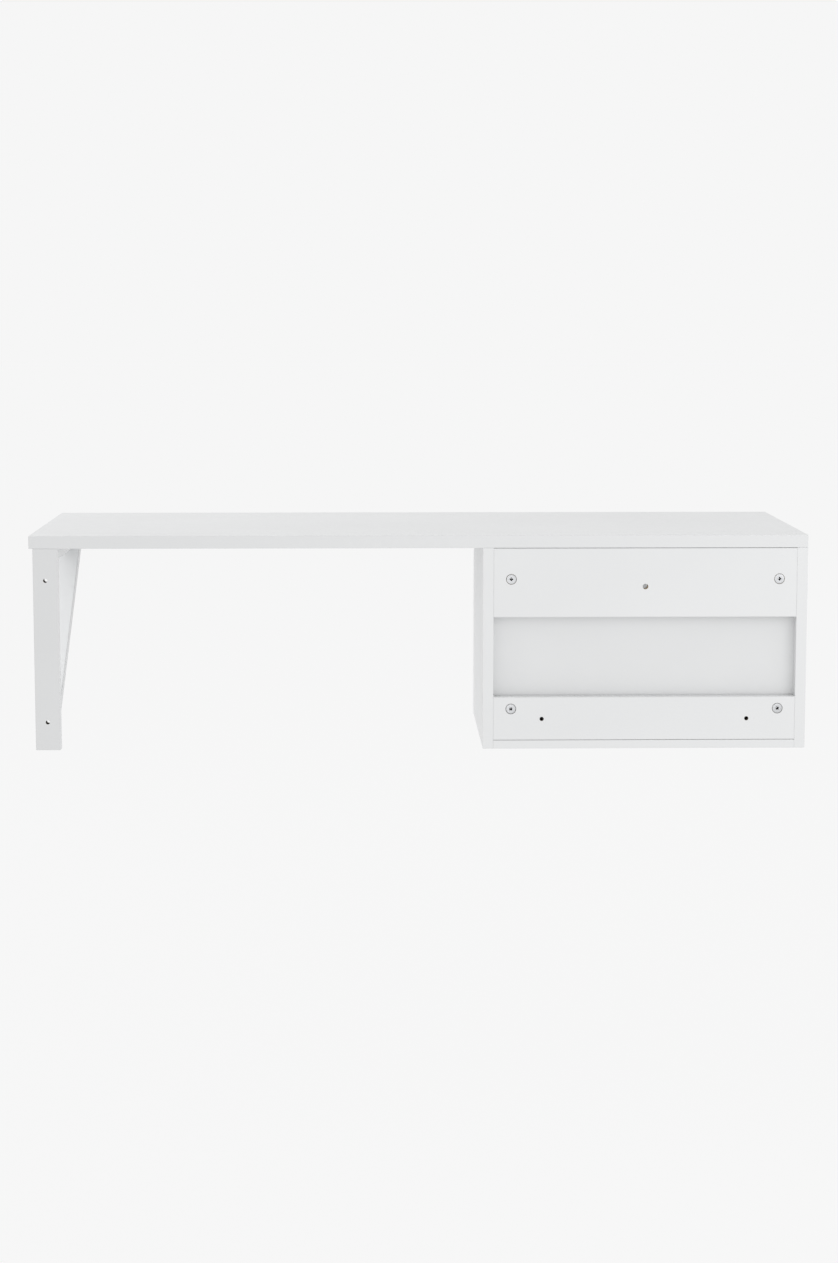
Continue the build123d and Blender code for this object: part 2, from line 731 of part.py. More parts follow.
head_planes = brace_planes(brace_head_middle, [-c for c in brace_axis])
foot_planes = brace_planes(brace_foot_middle, brace_axis)
arm_end = (bracket_middle, -bracket_board, (under + arm_underside) / 2)
arm_planes = brace_planes(arm_end, (0, 1, 0))
brace_dowel = make_dowel(small_dowel_radius, 20, 11)
brace_dowel_hole = make_dowel(small_dowel_radius + fit_gap, 20.5, 11.5)

with BuildPart() as bracket_wall_strip:
    with BuildSketch(Plane.XZ):
        span(bracket_left, foot, bracket_right, under)
    extrude(amount=bracket_board)
    fillet(bracket_wall_strip.edges(), edge_round)
    upper_strip_hole = under - bracket_hole_drop
    hole_levels = (upper_strip_hole, upper_strip_hole - bracket_hole_spacing)
    drill((0, 1, 0), wall_hole_radius, None, [(bracket_middle, 0, z) for z in hole_levels])
    with Locations(*foot_planes, *arm_planes):
        add(brace_dowel_hole, mode=Mode.SUBTRACT)
save(bracket_wall_strip, "bracket_wall_strip")

arm_screw = make_wood_screw(arm_screw_length)
arm_screw_planes = [
    Plane(origin=(bracket_middle, -s, arm_underside), z_dir=(0, 0, -1)) for s in arm_screw_setbacks
]
with BuildPart() as bracket_arm:
    with BuildSketch(Plane.YZ.offset(bracket_left)):
        span(-bracket_reach, arm_underside, -bracket_board, under)
    extrude(amount=bracket_width)
    fillet(bracket_arm.edges(), edge_round)
    with Locations(*head_planes, *arm_planes):
        add(brace_dowel_hole, mode=Mode.SUBTRACT)
    with Locations(*arm_screw_planes):
        CounterSinkHole(wood_screw_radius + fit_gap, wood_screw_head + 2 * fit_gap)
save(bracket_arm, "bracket_arm")

with BuildPart() as bracket_brace:
    with BuildSketch(Plane.YZ.offset(bracket_left)):
        with BuildLine():
            Polyline(
                (-bracket_reach, arm_underside),
                (-bracket_board, brace_foot_level),
                (-bracket_board, inner_foot),
                (inner_head, arm_underside),
                close=True,
            )
        make_face()
    extrude(amount=bracket_width)
    fillet(bracket_brace.edges(), edge_round)
    with Locations(*head_planes, *foot_planes):
        add(brace_dowel_hole, mode=Mode.SUBTRACT)
save(bracket_brace, "bracket_brace")

with BuildPart() as bracket_dowels:
    place(brace_dowel, head_planes + foot_planes + arm_planes)
save(bracket_dowels, "bracket_dowels")

with BuildPart() as bracket_arm_screws:
    place(arm_screw, arm_screw_planes)
save(bracket_arm_screws, "bracket_arm_screws")
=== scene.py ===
import math

import bpy
import numpy as np
from mathutils import Matrix, Vector


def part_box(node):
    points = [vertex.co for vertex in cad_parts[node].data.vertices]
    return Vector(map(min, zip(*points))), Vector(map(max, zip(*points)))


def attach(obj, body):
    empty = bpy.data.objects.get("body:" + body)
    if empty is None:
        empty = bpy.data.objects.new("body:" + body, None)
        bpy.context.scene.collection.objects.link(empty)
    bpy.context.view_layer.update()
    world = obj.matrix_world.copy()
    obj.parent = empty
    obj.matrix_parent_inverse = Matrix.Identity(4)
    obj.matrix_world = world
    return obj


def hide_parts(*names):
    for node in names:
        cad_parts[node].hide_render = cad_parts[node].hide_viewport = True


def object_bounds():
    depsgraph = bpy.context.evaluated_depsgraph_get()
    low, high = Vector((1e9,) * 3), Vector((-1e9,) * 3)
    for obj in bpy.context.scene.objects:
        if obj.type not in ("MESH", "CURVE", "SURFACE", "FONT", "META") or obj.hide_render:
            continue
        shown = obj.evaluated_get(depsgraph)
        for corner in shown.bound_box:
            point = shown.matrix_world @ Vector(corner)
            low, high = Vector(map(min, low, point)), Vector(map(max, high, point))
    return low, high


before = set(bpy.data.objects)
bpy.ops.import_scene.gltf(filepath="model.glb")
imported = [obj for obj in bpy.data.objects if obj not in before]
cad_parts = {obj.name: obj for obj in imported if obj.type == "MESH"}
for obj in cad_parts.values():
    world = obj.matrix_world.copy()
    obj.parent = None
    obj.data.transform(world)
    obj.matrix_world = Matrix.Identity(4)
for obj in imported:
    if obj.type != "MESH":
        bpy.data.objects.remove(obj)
cad_low, cad_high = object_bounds()

bl_info = {
    "name": "Wall-hung desk finishes",
    "version": (1, 0, 0),
    "blender": (4, 5, 0),
    "location": "3D View > Sidebar > Desk",
    "description": "Boards, fittings, runners, knob and studio of a white wall-hung desk",
    "category": "Object",
}

MM = 0.001
WELD = 0.001 * MM  # points closer than this are one
NEAR = 0.1 * MM  # how far a face may lie from its level and still belong to it
cabinet_middle = sum(corner.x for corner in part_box("upper_rail")) / 2

# The boards by the axis along which they are thin (0 is X, 1 is Y, 2 is Z)
BOARDS = {
    0: ("cabinet_side_left", "cabinet_side_right", "drawer_side_left", "drawer_side_right"),
    1: ("upper_rail", "lower_rail", "bracket_wall_strip", "drawer_front", "drawer_back"),
    2: ("desk_top", "shelf", "bottom_panel", "bracket_arm"),
}
HARDBOARDS = {1: ("back_panel",), 2: ("drawer_bottom",)}

# How bright a board's face, edging and raw core are drawn, where they differ from the usual.
# The wall strip's darker face and edging, the brace's lighter face and darker edging, and the
# darker or lighter core in the holes of the strip and both rails are painted light and shade;
# the desk top's edging is drawn a little darker
USUAL_TONES = (1.0, 0.995, 1.0)
TONES_AND_PAINTED_LIGHT = {
    "desk_top": (1.0, 0.965, 1.0),
    "bracket_wall_strip": (0.945, 0.96, 0.35),
    "bracket_brace": (1.2, 0.9, 1.0),
    "upper_rail": (1.0, 0.995, 1.7),
    "lower_rail": (1.0, 0.995, 0.45),
}

# Groups of like fasteners: CAD node, body and which way the head or face looks, then for cam
# locks which way their bolt leaves and its node, for bolts their size, and for screws the kind
# of head and its height as a share of its radius
CAM_LOCKS = (
    ("rail_cam_locks", "desk", "back", "inward", "rail_cam_bolts"),
    ("top_cam_locks", "desk", "inward", "down", "top_cam_bolts"),
    ("shelf_cam_locks", "desk", "down", "inward", "shelf_cam_bolts"),
    ("bottom_cam_locks", "desk", "down", "inward", "bottom_cam_bolts"),
    ("drawer_cam_locks", "drawer", "inward", "back", "drawer_cam_bolts"),
)
CAM_BOLTS = (
    ("rail_cam_bolts", "desk", "inward", "large"),
    ("top_cam_bolts", "desk", "down", "large"),
    ("shelf_cam_bolts", "desk", "inward", "small"),
    ("bottom_cam_bolts", "desk", "inward", "small"),
    ("drawer_cam_bolts", "drawer", "back", "small"),
)
DOWELS = ("rail_dowels", "top_dowels", "shelf_dowels", "bottom_dowels", "bracket_dowels")
SCREWS = (
    ("bracket_arm_screws", "desk", "down", "sunk", 0.5),
    ("drawer_back_screws", "drawer", "outward", "sunk", 0.5),
    ("cabinet_runner_screws", "desk", "inward", "raised", 0.5),
    ("drawer_runner_screws", "drawer", "outward", "raised", 0.5),
    ("knob_screw", "drawer", "back", "raised", 0.55),
)
PINS = (
    ("cabinet_roller_pins", "desk", "inward"),
    ("drawer_roller_pins", "drawer", "outward"),
)
ROLLERS = ("front_roller_left", "front_roller_right", "rear_roller_left", "rear_roller_right")

LARGE_HEAD = 3.5 * MM  # a screw whose head has a larger radius is slimmer below it
COLLAR = 1.1  # radius of a cam bolt's collar as a share of the bolt's
PIN_SHANK = 0.625  # radius of a riveted pin as a share of its head's
CURVE_STEPS = 8  # outline points along each curve of the knob

# The soft square lights: name, place and length of a side
LIGHTS = (
    ("key", (-1.0, 1.2, 0.3), 1.0),
    ("end", (3.7, -0.6, -0.1), 1.0),
    ("front", (1.8, -0.9, 1.5), 1.2),
    ("glint", (0.0, 3.0, -0.42), 0.4),
)


# Sizes and colours that a user may change --------------------------------------------------------
def length_setting(name, description, default):
    """A length in metres."""
    return bpy.props.FloatProperty(
        name=name, description=description, default=default, unit="LENGTH"
    )


def share_setting(name, description, default):
    """A share, from nothing to all."""
    return bpy.props.FloatProperty(
        name=name, description=description, default=default, min=0, max=1, subtype="FACTOR"
    )


def count_setting(name, description, default, least):
    """A whole number."""
    return bpy.props.IntProperty(name=name, description=description, default=default, min=least)


def colour_setting(name, description, *default):
    """A colour as its red, green and blue."""
    return bpy.props.FloatVectorProperty(
        name=name, description=description, default=default, min=0, max=1, subtype="COLOR"
    )


def power_setting(name, description, default):
    """The power of a light in watts."""
    return bpy.props.FloatProperty(
        name=name, description=description, default=default, min=0, unit="POWER"
    )


def angle_setting(name, description, degrees):
    """An angle, whose default is given in degrees."""
    return bpy.props.FloatProperty(
        name=name, description=description, default=math.radians(degrees), subtype="ANGLE"
    )


class BoardFinish(bpy.types.PropertyGroup):
    face_colour: colour_setting("Face", "Colour of the melamine face", 0.714, 0.72, 0.724)
    core_colour: colour_setting("Core", "Middle colour of the raw chipboard", 0.42, 0.35, 0.27)
    roughness: share_setting("Roughness", "Mean roughness of the face", 0.42)
    pearl_size: length_setting("Pearl size", "Size of one bump of the pressed face", 0.0007)
    pearl_height: length_setting("Pearl height", "Height of the pressed bumps", 0.00005)
    wave_size: length_setting("Wave size", "Size of the slow waves in the pressed face", 0.04)
    edging: length_setting("Edging", "Thickness of the glued edging", 0.0008)
    seam: length_setting("Seam", "Half the width of the glue line", 0.00012)
    flake_size: length_setting("Flake size", "Size of a wood flake of the core", 0.0016)


class FittingSizes(bpy.types.PropertyGroup):
    recess_width: length_setting("Cam recess", "Length of the cross in a cam lock", 0.0052)
    recess_blade: length_setting("Cam recess blade", "Width of one arm of the cross", 0.002)
    recess_depth: length_setting("Cam recess depth", "Depth of the cross", 0.0042)
    large_thread: length_setting("Large thread", "Threaded length of a large cam bolt", 0.011)
    small_thread: length_setting("Small thread", "Threaded length of a small cam bolt", 0.009)
    pitch: length_setting("Pitch", "Rise of one turn of a wood thread", 0.0014)
    flutes: count_setting("Flutes", "Number of flutes round a dowel", 20, least=6)
    zinc_colour: colour_setting("Zinc", "Colour of the cast zinc", 0.95, 0.955, 0.96)
    steel_colour: colour_setting("Steel", "Colour of the plated steel", 0.66, 0.67, 0.69)
    beech_colour: colour_setting("Beech", "Middle colour of the dowels", 0.62, 0.43, 0.25)


class RunnerSizes(bpy.types.PropertyGroup):
    sheet: length_setting("Sheet", "Thickness of the steel sheet", 0.0012)
    top_flange: length_setting("Top flange", "Reach of the cabinet runner's top flange", 0.008)
    lip: length_setting("Lip", "Height of the lip that keeps a roller on its track", 0.0011)
    slot_length: length_setting("Slot", "Length of an adjusting slot", 0.012)
    paint_colour: colour_setting("Paint", "Colour of the powder coat", 0.82, 0.825, 0.82)
    nylon_colour: colour_setting("Nylon", "Colour of the rollers", 0.8, 0.8, 0.76)
    ribs: count_setting("Ribs", "Number of ribs in a roller's web", 6, least=3)


class KnobShape(bpy.types.PropertyGroup):
    base_share: share_setting("Base", "Radius of the foot as a share of the rim's", 0.643)
    neck_share: share_setting("Neck", "Radius of the neck as a share of the rim's", 0.43)
    colour: colour_setting("Metal", "Colour of the turned aluminium", 0.56, 0.55, 0.53)
    groove_size: length_setting("Turning marks", "Spacing of the turning marks", 0.0006)


class Studio(bpy.types.PropertyGroup):
    floor_level: length_setting("Floor", "Height of the floor", -0.74)
    surround: bpy.props.FloatProperty(
        name="Surround", description="Brightness of the surround", default=0.9216, min=0
    )
    key_power: power_setting("Key", "Power of the soft light near the cabinet's back", 4.1)
    end_power: power_setting("End", "Power of the light off the bracket's end", 12.0)
    front_power: power_setting("Front", "Power of the light above the desk's front", 9.0)
    glint_power: power_setting("Glint", "Power of the low light that the metal mirrors", 3.5)
    camera_place: bpy.props.FloatVectorProperty(
        name="Camera", description="Place of the camera", unit="LENGTH", subtype="XYZ",
        default=(0.0723, 3.6035, 0.3376),
    )
    camera_turn: angle_setting("Turn", "Turn of the camera away from square on", 1.14)
    camera_tilt: angle_setting("Tilt", "Tilt of the camera below the horizon", 7.351)
    camera_lens: bpy.props.FloatProperty(
        name="Lens", description="Focal length on a 36 mm sensor, in millimetres", default=73.17
    )


GROUPS = {
    "desk_boards": BoardFinish,
    "desk_fittings": FittingSizes,
    "desk_runners": RunnerSizes,
    "desk_knob": KnobShape,
    "desk_studio": Studio,
}


# Places, read from the frame ---------------------------------------------------------------------
def solids_of(node):
    """The separate solids of a CAD node, each as an array of its corner points."""
    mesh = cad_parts[node].data
    points = np.array([vertex.co for vertex in mesh.vertices]).reshape(-1, 3)
    _, same = np.unique(np.round(points / WELD), axis=0, return_inverse=True)
    same = same.ravel()
    parent = list(range(same.max() + 1))

    def root(i):
        while parent[i] != i:
            parent[i] = parent[parent[i]]
            i = parent[i]
        return i

    for polygon in mesh.polygons:
        first, *others = (same[i] for i in polygon.vertices)
        for other in others:
            parent[root(other)] = root(first)
    owner = np.array([root(i) for i in same])
    found = [points[owner == label] for label in sorted(set(owner))]
    return sorted(found, key=lambda cloud: tuple(np.round(cloud.min(0), 5)))


def middle_of(cloud):
    """Middle of a solid's box."""
    return Vector((cloud.min(0) + cloud.max(0)) / 2)


def extent(cloud, direction):
    """Length of a solid along a direction."""
    along = cloud @ np.array(direction)
    return along.max() - along.min()


def heading(word, place):
    """A direction by its plain word, as seen from a place in the cabinet."""
    inward = 1 if place.x < cabinet_middle else -1
    return Vector({
        "back": (0, 1, 0),
        "down": (0, 0, -1),
        "inward": (inward, 0, 0),
        "outward": (-inward, 0, 0),
    }[word])


def stand(place, up, side):
    """A placing whose Z runs along up, and whose X is as near to side as that allows."""
    z = Vector(up).normalized()
    x = (Vector(side) - z * z.dot(Vector(side))).normalized()
    axes = Matrix((x, z.cross(x), z)).transposed()
    return Matrix.Translation(place) @ axes.to_4x4()


def across(direction):
    """Some direction square to this one."""
    return Vector(direction).orthogonal().normalized()


def like_fasteners(node, facing, end):
    """Length, largest radius and placings of a node's like pieces, whose Z looks the facing way.

    Each stands at the end of its length that lies towards the facing (1) or away from it (-1).
    """
    solids = solids_of(node)
    up = heading(facing, middle_of(solids[0]))
    length = extent(solids[0], up)
    radius = extent(solids[0], across(up)) / 2
    placings = []
    for cloud in solids:
        middle = middle_of(cloud)
        up = heading(facing, middle)
        placings.append(stand(middle + end * up * length / 2, up, across(up)))
    return length, radius, placings


# Modelling ---------------------------------------------------------------------------------------
def select_only(*pieces):
    """Select these pieces and nothing else, the first as the active one."""
    bpy.ops.object.select_all(action="DESELECT")
    for piece in pieces:
        piece.select_set(True)
    bpy.context.view_layer.objects.active = pieces[0]


def settle(piece):
    """Put a piece's place and turn into its mesh."""
    select_only(piece)
    bpy.ops.object.transform_apply(location=True, rotation=True, scale=True)
    return piece


def start(primitive, **settings):
    """Add a primitive with nothing else selected, its place and turn in its mesh."""
    bpy.ops.object.select_all(action="DESELECT")
    primitive(**settings)
    return settle(bpy.context.object)


def duplicate(piece):
    """A copy of a piece with its own mesh."""
    select_only(piece)
    bpy.ops.object.duplicate(linked=False)
    return bpy.context.object


def begin_edit(kind=None):
    """Go into edit mode with the whole mesh selected, as vertices, edges or faces if asked."""
    bpy.ops.object.mode_set(mode="EDIT")
    if kind:
        bpy.ops.mesh.select_mode(type=kind)
    bpy.ops.mesh.select_all(action="SELECT")


def end_edit(outwards=False):
    """Leave edit mode, after pointing all faces outwards if asked."""
    if outwards:
        bpy.ops.mesh.select_all(action="SELECT")
        bpy.ops.mesh.normals_make_consistent(inside=False)
    bpy.ops.object.mode_set(mode="OBJECT")


def pick(piece, kind, test):
    """In edit mode, select only the vertices or faces that pass the test."""
    bpy.ops.mesh.select_mode(type=kind)
    bpy.ops.mesh.select_all(action="DESELECT")
    bpy.ops.object.mode_set(mode="OBJECT")
    parts = piece.data.vertices if kind == "VERT" else piece.data.polygons
    for part in parts:
        part.select = bool(test(part))
    bpy.ops.object.mode_set(mode="EDIT")


def turned(name, outline, sides=32, loop=False):
    """A turned piece about Z from rings of (radius, height), its two ends closed, or joined."""
    radius, height = outline[0]
    circle = bpy.ops.mesh.primitive_circle_add
    piece = start(circle, vertices=sides, radius=radius, location=(0, 0, height))
    piece.name = name
    begin_edit("EDGE")
    for next_radius, next_height in outline[1:] + (outline[:1] if loop else []):
        rise = (0, 0, next_height - height)
        bpy.ops.mesh.extrude_region_move(TRANSFORM_OT_translate={"value": rise})
        growth = next_radius / radius
        bpy.ops.transform.resize(
            value=(growth, growth, 1), center_override=(0, 0, next_height)
        )
        radius, height = next_radius, next_height
    if loop:
        bpy.ops.mesh.select_all(action="SELECT")
        bpy.ops.mesh.remove_doubles(threshold=WELD)
    else:
        bpy.ops.mesh.edge_face_add()
        pick(piece, "VERT", lambda vertex: vertex.index < sides)
        bpy.ops.mesh.edge_face_add()
    end_edit(outwards=True)
    return piece


def block(low, high, taper=1.0):
    """A block between two corners, its lower end narrowed by the taper."""
    size = Vector(high) - Vector(low)
    middle = (Vector(high) + Vector(low)) / 2
    piece = start(bpy.ops.mesh.primitive_cube_add, size=1, location=middle, scale=size)
    if taper != 1:
        begin_edit()
        pick(piece, "VERT", lambda vertex: vertex.co.z < middle.z)
        bpy.ops.transform.resize(
            value=(taper, taper, 1), center_override=(middle.x, middle.y, low[2])
        )
        end_edit()
    return piece


def finish_modifier(piece, kind, **settings):
    """Add a modifier to a piece and apply it."""
    select_only(piece)
    bpy.ops.object.modifier_add(type=kind)
    modifier = piece.modifiers[-1]
    for setting, value in settings.items():
        setattr(modifier, setting, value)
    bpy.ops.object.modifier_apply(modifier=modifier.name)


def cut(piece, *cutters):
    """Take the cutters' shapes out of a piece."""
    for cutter in cutters:
        finish_modifier(piece, "BOOLEAN", operation="DIFFERENCE", solver="EXACT", object=cutter)
        bpy.data.objects.remove(cutter)


def join(name, *pieces):
    """Join pieces to one under this name."""
    select_only(*pieces)
    if len(pieces) > 1:
        bpy.ops.object.join()
    pieces[0].name = name
    pieces[0].data.name = name
    return pieces[0]


def cross_cutters(width, blade, depth, level=0.0):
    """The two arms of a cross recess, narrowing downwards from this level."""
    above = 0.5 * MM  # how far the cutters stand out of the head
    for half_x, half_y in ((width / 2, blade / 2), (blade / 2, width / 2)):
        low = (-half_x, -half_y, level - depth)
        yield block(low, (half_x, half_y, level + above), taper=0.6)


def thread(core, crest, pitch, level, length):
    """A closed helical ridge from the core radius to the crest, rising along Z from a level."""
    turns = max(1, round(length / pitch) - 1)
    middle = (2 * core + crest) / 3
    ridge = start(  # the ridge's section: a triangle with its apex outwards
        bpy.ops.mesh.primitive_circle_add, vertices=3, radius=2 * (crest - core) / 3,
        location=(middle, 0, level + pitch / 2), rotation=(math.pi / 2, math.pi / 2, 0),
    )
    finish_modifier(
        ridge, "SCREW", axis="Z", angle=2 * math.pi, screw_offset=pitch, iterations=turns,
        steps=14, render_steps=14, use_merge_vertices=False,
    )
    begin_edit()
    bpy.ops.mesh.remove_doubles(threshold=WELD)
    bpy.ops.mesh.select_all(action="SELECT")
    bpy.ops.mesh.fill_holes(sides=3)
    end_edit(outwards=True)
    return ridge


def smooth(piece, degrees=32):
    """Round shading on the gentle edges, crisp on the rest."""
    select_only(piece)
    bpy.ops.object.shade_smooth_by_angle(angle=math.radians(degrees))


def copies(name, master, placings):
    """Copies of a master, one at each placing, as one piece; the master itself goes."""
    made = []
    for placing in placings:
        copy = duplicate(master)
        copy.matrix_world = placing
        made.append(settle(copy))
    bpy.data.objects.remove(master)
    return join(name, *made)


def hand_over(piece, body, material, node):
    """Give a finished piece its body and its finish, and hide the CAD node that it stands for.

    A piece that already wears its finishes is given no material.
    """
    if material:
        piece.data.materials.clear()
        piece.data.materials.append(material)
    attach(piece, body)
    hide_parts(node)


# Material nodes ----------------------------------------------------------------------------------
class Recipe:
    """A material and the short calls that lay out its nodes."""

    def __init__(self, name):
        self.material = bpy.data.materials.new(name)
        self.material.use_nodes = True
        self.tree = self.material.node_tree
        self.shader = self.tree.nodes["Principled BSDF"]

    def add(self, kind, inputs=(), output=0, **settings):
        """A node with its settings and inputs; returns one of its outputs."""
        made = self.tree.nodes.new(kind)
        for setting, value in settings.items():
            setattr(made, setting, value)
        for socket, value in dict(inputs).items():
            self.feed(made.inputs[socket], value)
        return made.outputs[output]

    def feed(self, socket, value):
        """Link or set one input."""
        if isinstance(value, bpy.types.NodeSocket):
            self.tree.links.new(value, socket)
        else:
            socket.default_value = value

    def sum(self, operation, *values):
        """A maths node."""
        return self.add("ShaderNodeMath", dict(enumerate(values)), operation=operation)

    def place(self, centre=(0, 0, 0), turn=(0, 0, 0), scale=(1, 1, 1)):
        """The point of the object, centred, turned and scaled."""
        point = self.add("ShaderNodeTexCoord", output=3)
        inputs = {"Vector": point, "Location": centre, "Rotation": turn, "Scale": scale}
        return self.add("ShaderNodeMapping", inputs, vector_type="TEXTURE")

    def noise(self, vector, size, detail=2.0, roughness=0.5):
        """Noise whose lumps are about this size, from 0 to 1."""
        inputs = {"Vector": vector, "Scale": 1 / size, "Detail": detail, "Roughness": roughness}
        return self.add("ShaderNodeTexNoise", inputs)

    def ramp(self, factor, *stops):
        """A colour ramp with stops of (place, colour)."""
        output = self.add("ShaderNodeValToRGB", {"Fac": factor})
        elements = output.node.color_ramp.elements
        while len(elements) < len(stops):
            elements.new(0.5)
        for element, (place, colour) in zip(elements, stops):
            element.position = place
            element.color = (*colour, 1)
        return output

    def mottle(self, factor, colour, dark, light):
        """A colour that drifts between a darker and a lighter shade of itself."""
        return self.ramp(factor, (0.3, shade(colour, dark)), (0.7, shade(colour, light)))

    def blend(self, factor, first, second):
        """A mix of two colours."""
        inputs = {"Factor": factor, 6: first, 7: second}
        return self.add("ShaderNodeMix", inputs, output=2, data_type="RGBA")

    def largest(self, values):
        """The largest of some values."""
        most, *others = values
        for value in others:
            most = self.sum("MAXIMUM", most, value)
        return most

    def spread(self, value, low, high, to_low, to_high, smooth_step=False):
        """A value moved from one range to another and held inside it."""
        inputs = {0: value, 1: low, 2: high, 3: to_low, 4: to_high}
        kind = "SMOOTHSTEP" if smooth_step else "LINEAR"
        return self.add("ShaderNodeMapRange", inputs, interpolation_type=kind)

    def bump(self, height, distance, strength=1.0, under=None):
        """A bump of this height in metres, over another bump."""
        inputs = {"Height": height, "Distance": distance, "Strength": strength}
        if under is not None:
            inputs["Normal"] = under
        return self.add("ShaderNodeBump", inputs)

    def wear(self, colour, roughness, normal=None, **inputs):
        """Set or link the shader's own sockets, by their names with _ for a space."""
        inputs.update(Base_Color=colour, Roughness=roughness)
        if normal is not None:
            inputs["Normal"] = normal
        for socket, value in inputs.items():
            self.feed(self.shader.inputs[socket.replace("_", " ")], value)
        return self.material


def shade(colour, factor):
    """A colour made lighter or darker."""
    return tuple(min(1.0, channel * factor) for channel in colour)


def rgba(colour, factor=1.0):
    """A colour with its alpha, made lighter or darker."""
    return (*shade(colour, factor), 1.0)


def along_axis(axis, stretch):
    """A scale that stretches a pattern along one axis."""
    return [stretch if number == axis else 1.0 for number in range(3)]


def beyond_box(recipe, point, half):
    """How far a point lies beyond each pair of faces of a box about the origin."""
    size = recipe.add("ShaderNodeVectorMath", {0: point}, operation="ABSOLUTE")
    beyond = recipe.add("ShaderNodeVectorMath", {0: size, 1: half}, operation="SUBTRACT")
    split = recipe.add("ShaderNodeSeparateXYZ", {"Vector": beyond}).node
    return list(split.outputs)


def melamine(node, thin, finish, centre, half, turn=(0, 0, 0), free_ends=()):
    """White melamine on a board, its glued edging, and the raw chipboard in its holes, with some
    boards' face, edging and core painted lighter or darker as light and shade.
    """
    # Painted light and shade: on some boards the face, the edging and the core in the holes are
    # drawn lighter or darker
    face_painted_light, edging_tone_and_painted_shade, core_painted_light = TONES_AND_PAINTED_LIGHT.get(node, USUAL_TONES)
    core_colour = shade(finish.core_colour, core_painted_light)
    recipe = Recipe(f"melamine_{node}")
    point = recipe.place(centre, turn)
    beyond = beyond_box(recipe, point, half)
    skin = [value for axis, value in enumerate(beyond) if axis not in free_ends]
    raw = recipe.spread(recipe.largest(skin), -0.45 * MM, -0.3 * MM, 1, 0)  # below the skin

    # The glue line shows on the two broad faces, one edging thickness in from the rim
    from_rim = recipe.largest([
        value for axis, value in enumerate(beyond) if axis != thin and axis not in free_ends
    ])
    off_line = recipe.sum("ABSOLUTE", recipe.sum("ADD", from_rim, finish.edging))
    line = recipe.spread(off_line, 0, finish.seam, 1, 0, smooth_step=True)
    broad = recipe.spread(beyond[thin], -0.12 * MM, -0.02 * MM, 0, 1)
    seam = recipe.sum("MULTIPLY", line, broad)
    edging = recipe.spread(from_rim, -1.02 * finish.edging, -0.98 * finish.edging, 0, 1)

    cloud = recipe.noise(point, 0.22, 3, 0.55)
    # The face and edging colours carry the painted light and shade of their board
    face = recipe.mottle(cloud, finish.face_colour, 0.985 * face_painted_light, 1.012 * face_painted_light)
    face = recipe.blend(edging, face, rgba(finish.face_colour, edging_tone_and_painted_shade))
    face = recipe.blend(recipe.sum("MULTIPLY", seam, 0.35), face, rgba((0.5, 0.49, 0.47)))

    flat_flakes = recipe.place(centre, turn, [2.4 if axis != thin else 1 for axis in range(3)])
    flakes = recipe.add(
        "ShaderNodeTexVoronoi", {"Vector": flat_flakes, "Scale": 1 / finish.flake_size}, output=1
    )
    tone = recipe.add("ShaderNodeSeparateColor", {"Color": flakes})
    core = recipe.ramp(
        tone, (0.0, shade(core_colour, 0.55)), (0.5, core_colour), (1.0, shade(core_colour, 1.5))
    )
    colour = recipe.blend(raw, face, core)

    pearl = recipe.noise(point, finish.pearl_size, 2, 0.5)
    waves = recipe.noise(point, finish.wave_size, 1, 0.4)
    scuffs = recipe.noise(point, 12 * MM, 4, 0.7)
    sheen = recipe.spread(scuffs, 0.3, 0.7, finish.roughness - 0.05, finish.roughness + 0.06)
    sheen = recipe.sum("SUBTRACT", sheen, recipe.sum("MULTIPLY", edging, 0.06))
    roughness = recipe.add(
        "ShaderNodeMix", {"Factor": raw, 2: sheen, 3: 0.92}, data_type="FLOAT"
    )
    normal = recipe.bump(waves, 0.05 * MM)
    normal = recipe.bump(pearl, finish.pearl_height, 0.6, normal)
    normal = recipe.bump(recipe.sum("SUBTRACT", 1, seam), 0.08 * MM, 0.7, normal)
    chips = recipe.sum("MULTIPLY", tone, raw)
    normal = recipe.bump(chips, 0.25 * MM, 1.0, normal)
    return recipe.wear(colour, roughness, normal, IOR=1.48)


def lacquered_hardboard(node, thin, finish, centre, half):
    """White lacquer over pressed fibres, with the brown board showing at its cut edges."""
    recipe = Recipe(f"hardboard_{node}")
    point = recipe.place(centre)
    beyond = beyond_box(recipe, point, half)
    cut_edge = recipe.spread(beyond[thin], -0.3 * MM, -0.15 * MM, 1, 0)
    fibres = recipe.noise(recipe.place(centre, scale=along_axis(0, 3.0)), 0.9 * MM, 4, 0.65)
    face = recipe.mottle(recipe.noise(point, 0.18, 3, 0.5), finish.face_colour, 0.955, 0.985)
    fibre_colour = recipe.ramp(fibres, (0.25, (0.16, 0.09, 0.05)), (0.75, (0.36, 0.22, 0.13)))
    colour = recipe.blend(cut_edge, face, fibre_colour)
    roughness = recipe.spread(fibres, 0.3, 0.7, 0.42, 0.55)
    normal = recipe.bump(recipe.noise(point, 0.06, 1, 0.4), 0.12 * MM)
    normal = recipe.bump(fibres, 0.04 * MM, 0.8, normal)
    return recipe.wear(colour, roughness, normal, IOR=1.48)


def cast_zinc(fittings):
    """Bright die-cast zinc with a sandy skin."""
    if "cast_zinc" in bpy.data.materials:
        return bpy.data.materials["cast_zinc"]
    recipe = Recipe("cast_zinc")
    point = recipe.place()
    grain = recipe.noise(point, 0.35 * MM, 3, 0.6)
    stain = recipe.noise(point, 4 * MM, 3, 0.6)
    colour = recipe.mottle(stain, fittings.zinc_colour, 0.9, 1.06)
    roughness = recipe.spread(grain, 0.25, 0.75, 0.15, 0.24)
    normal = recipe.bump(stain, 0.05 * MM, 0.5)
    normal = recipe.bump(grain, 0.03 * MM, 0.7, normal)
    return recipe.wear(colour, roughness, normal, Metallic=1.0)


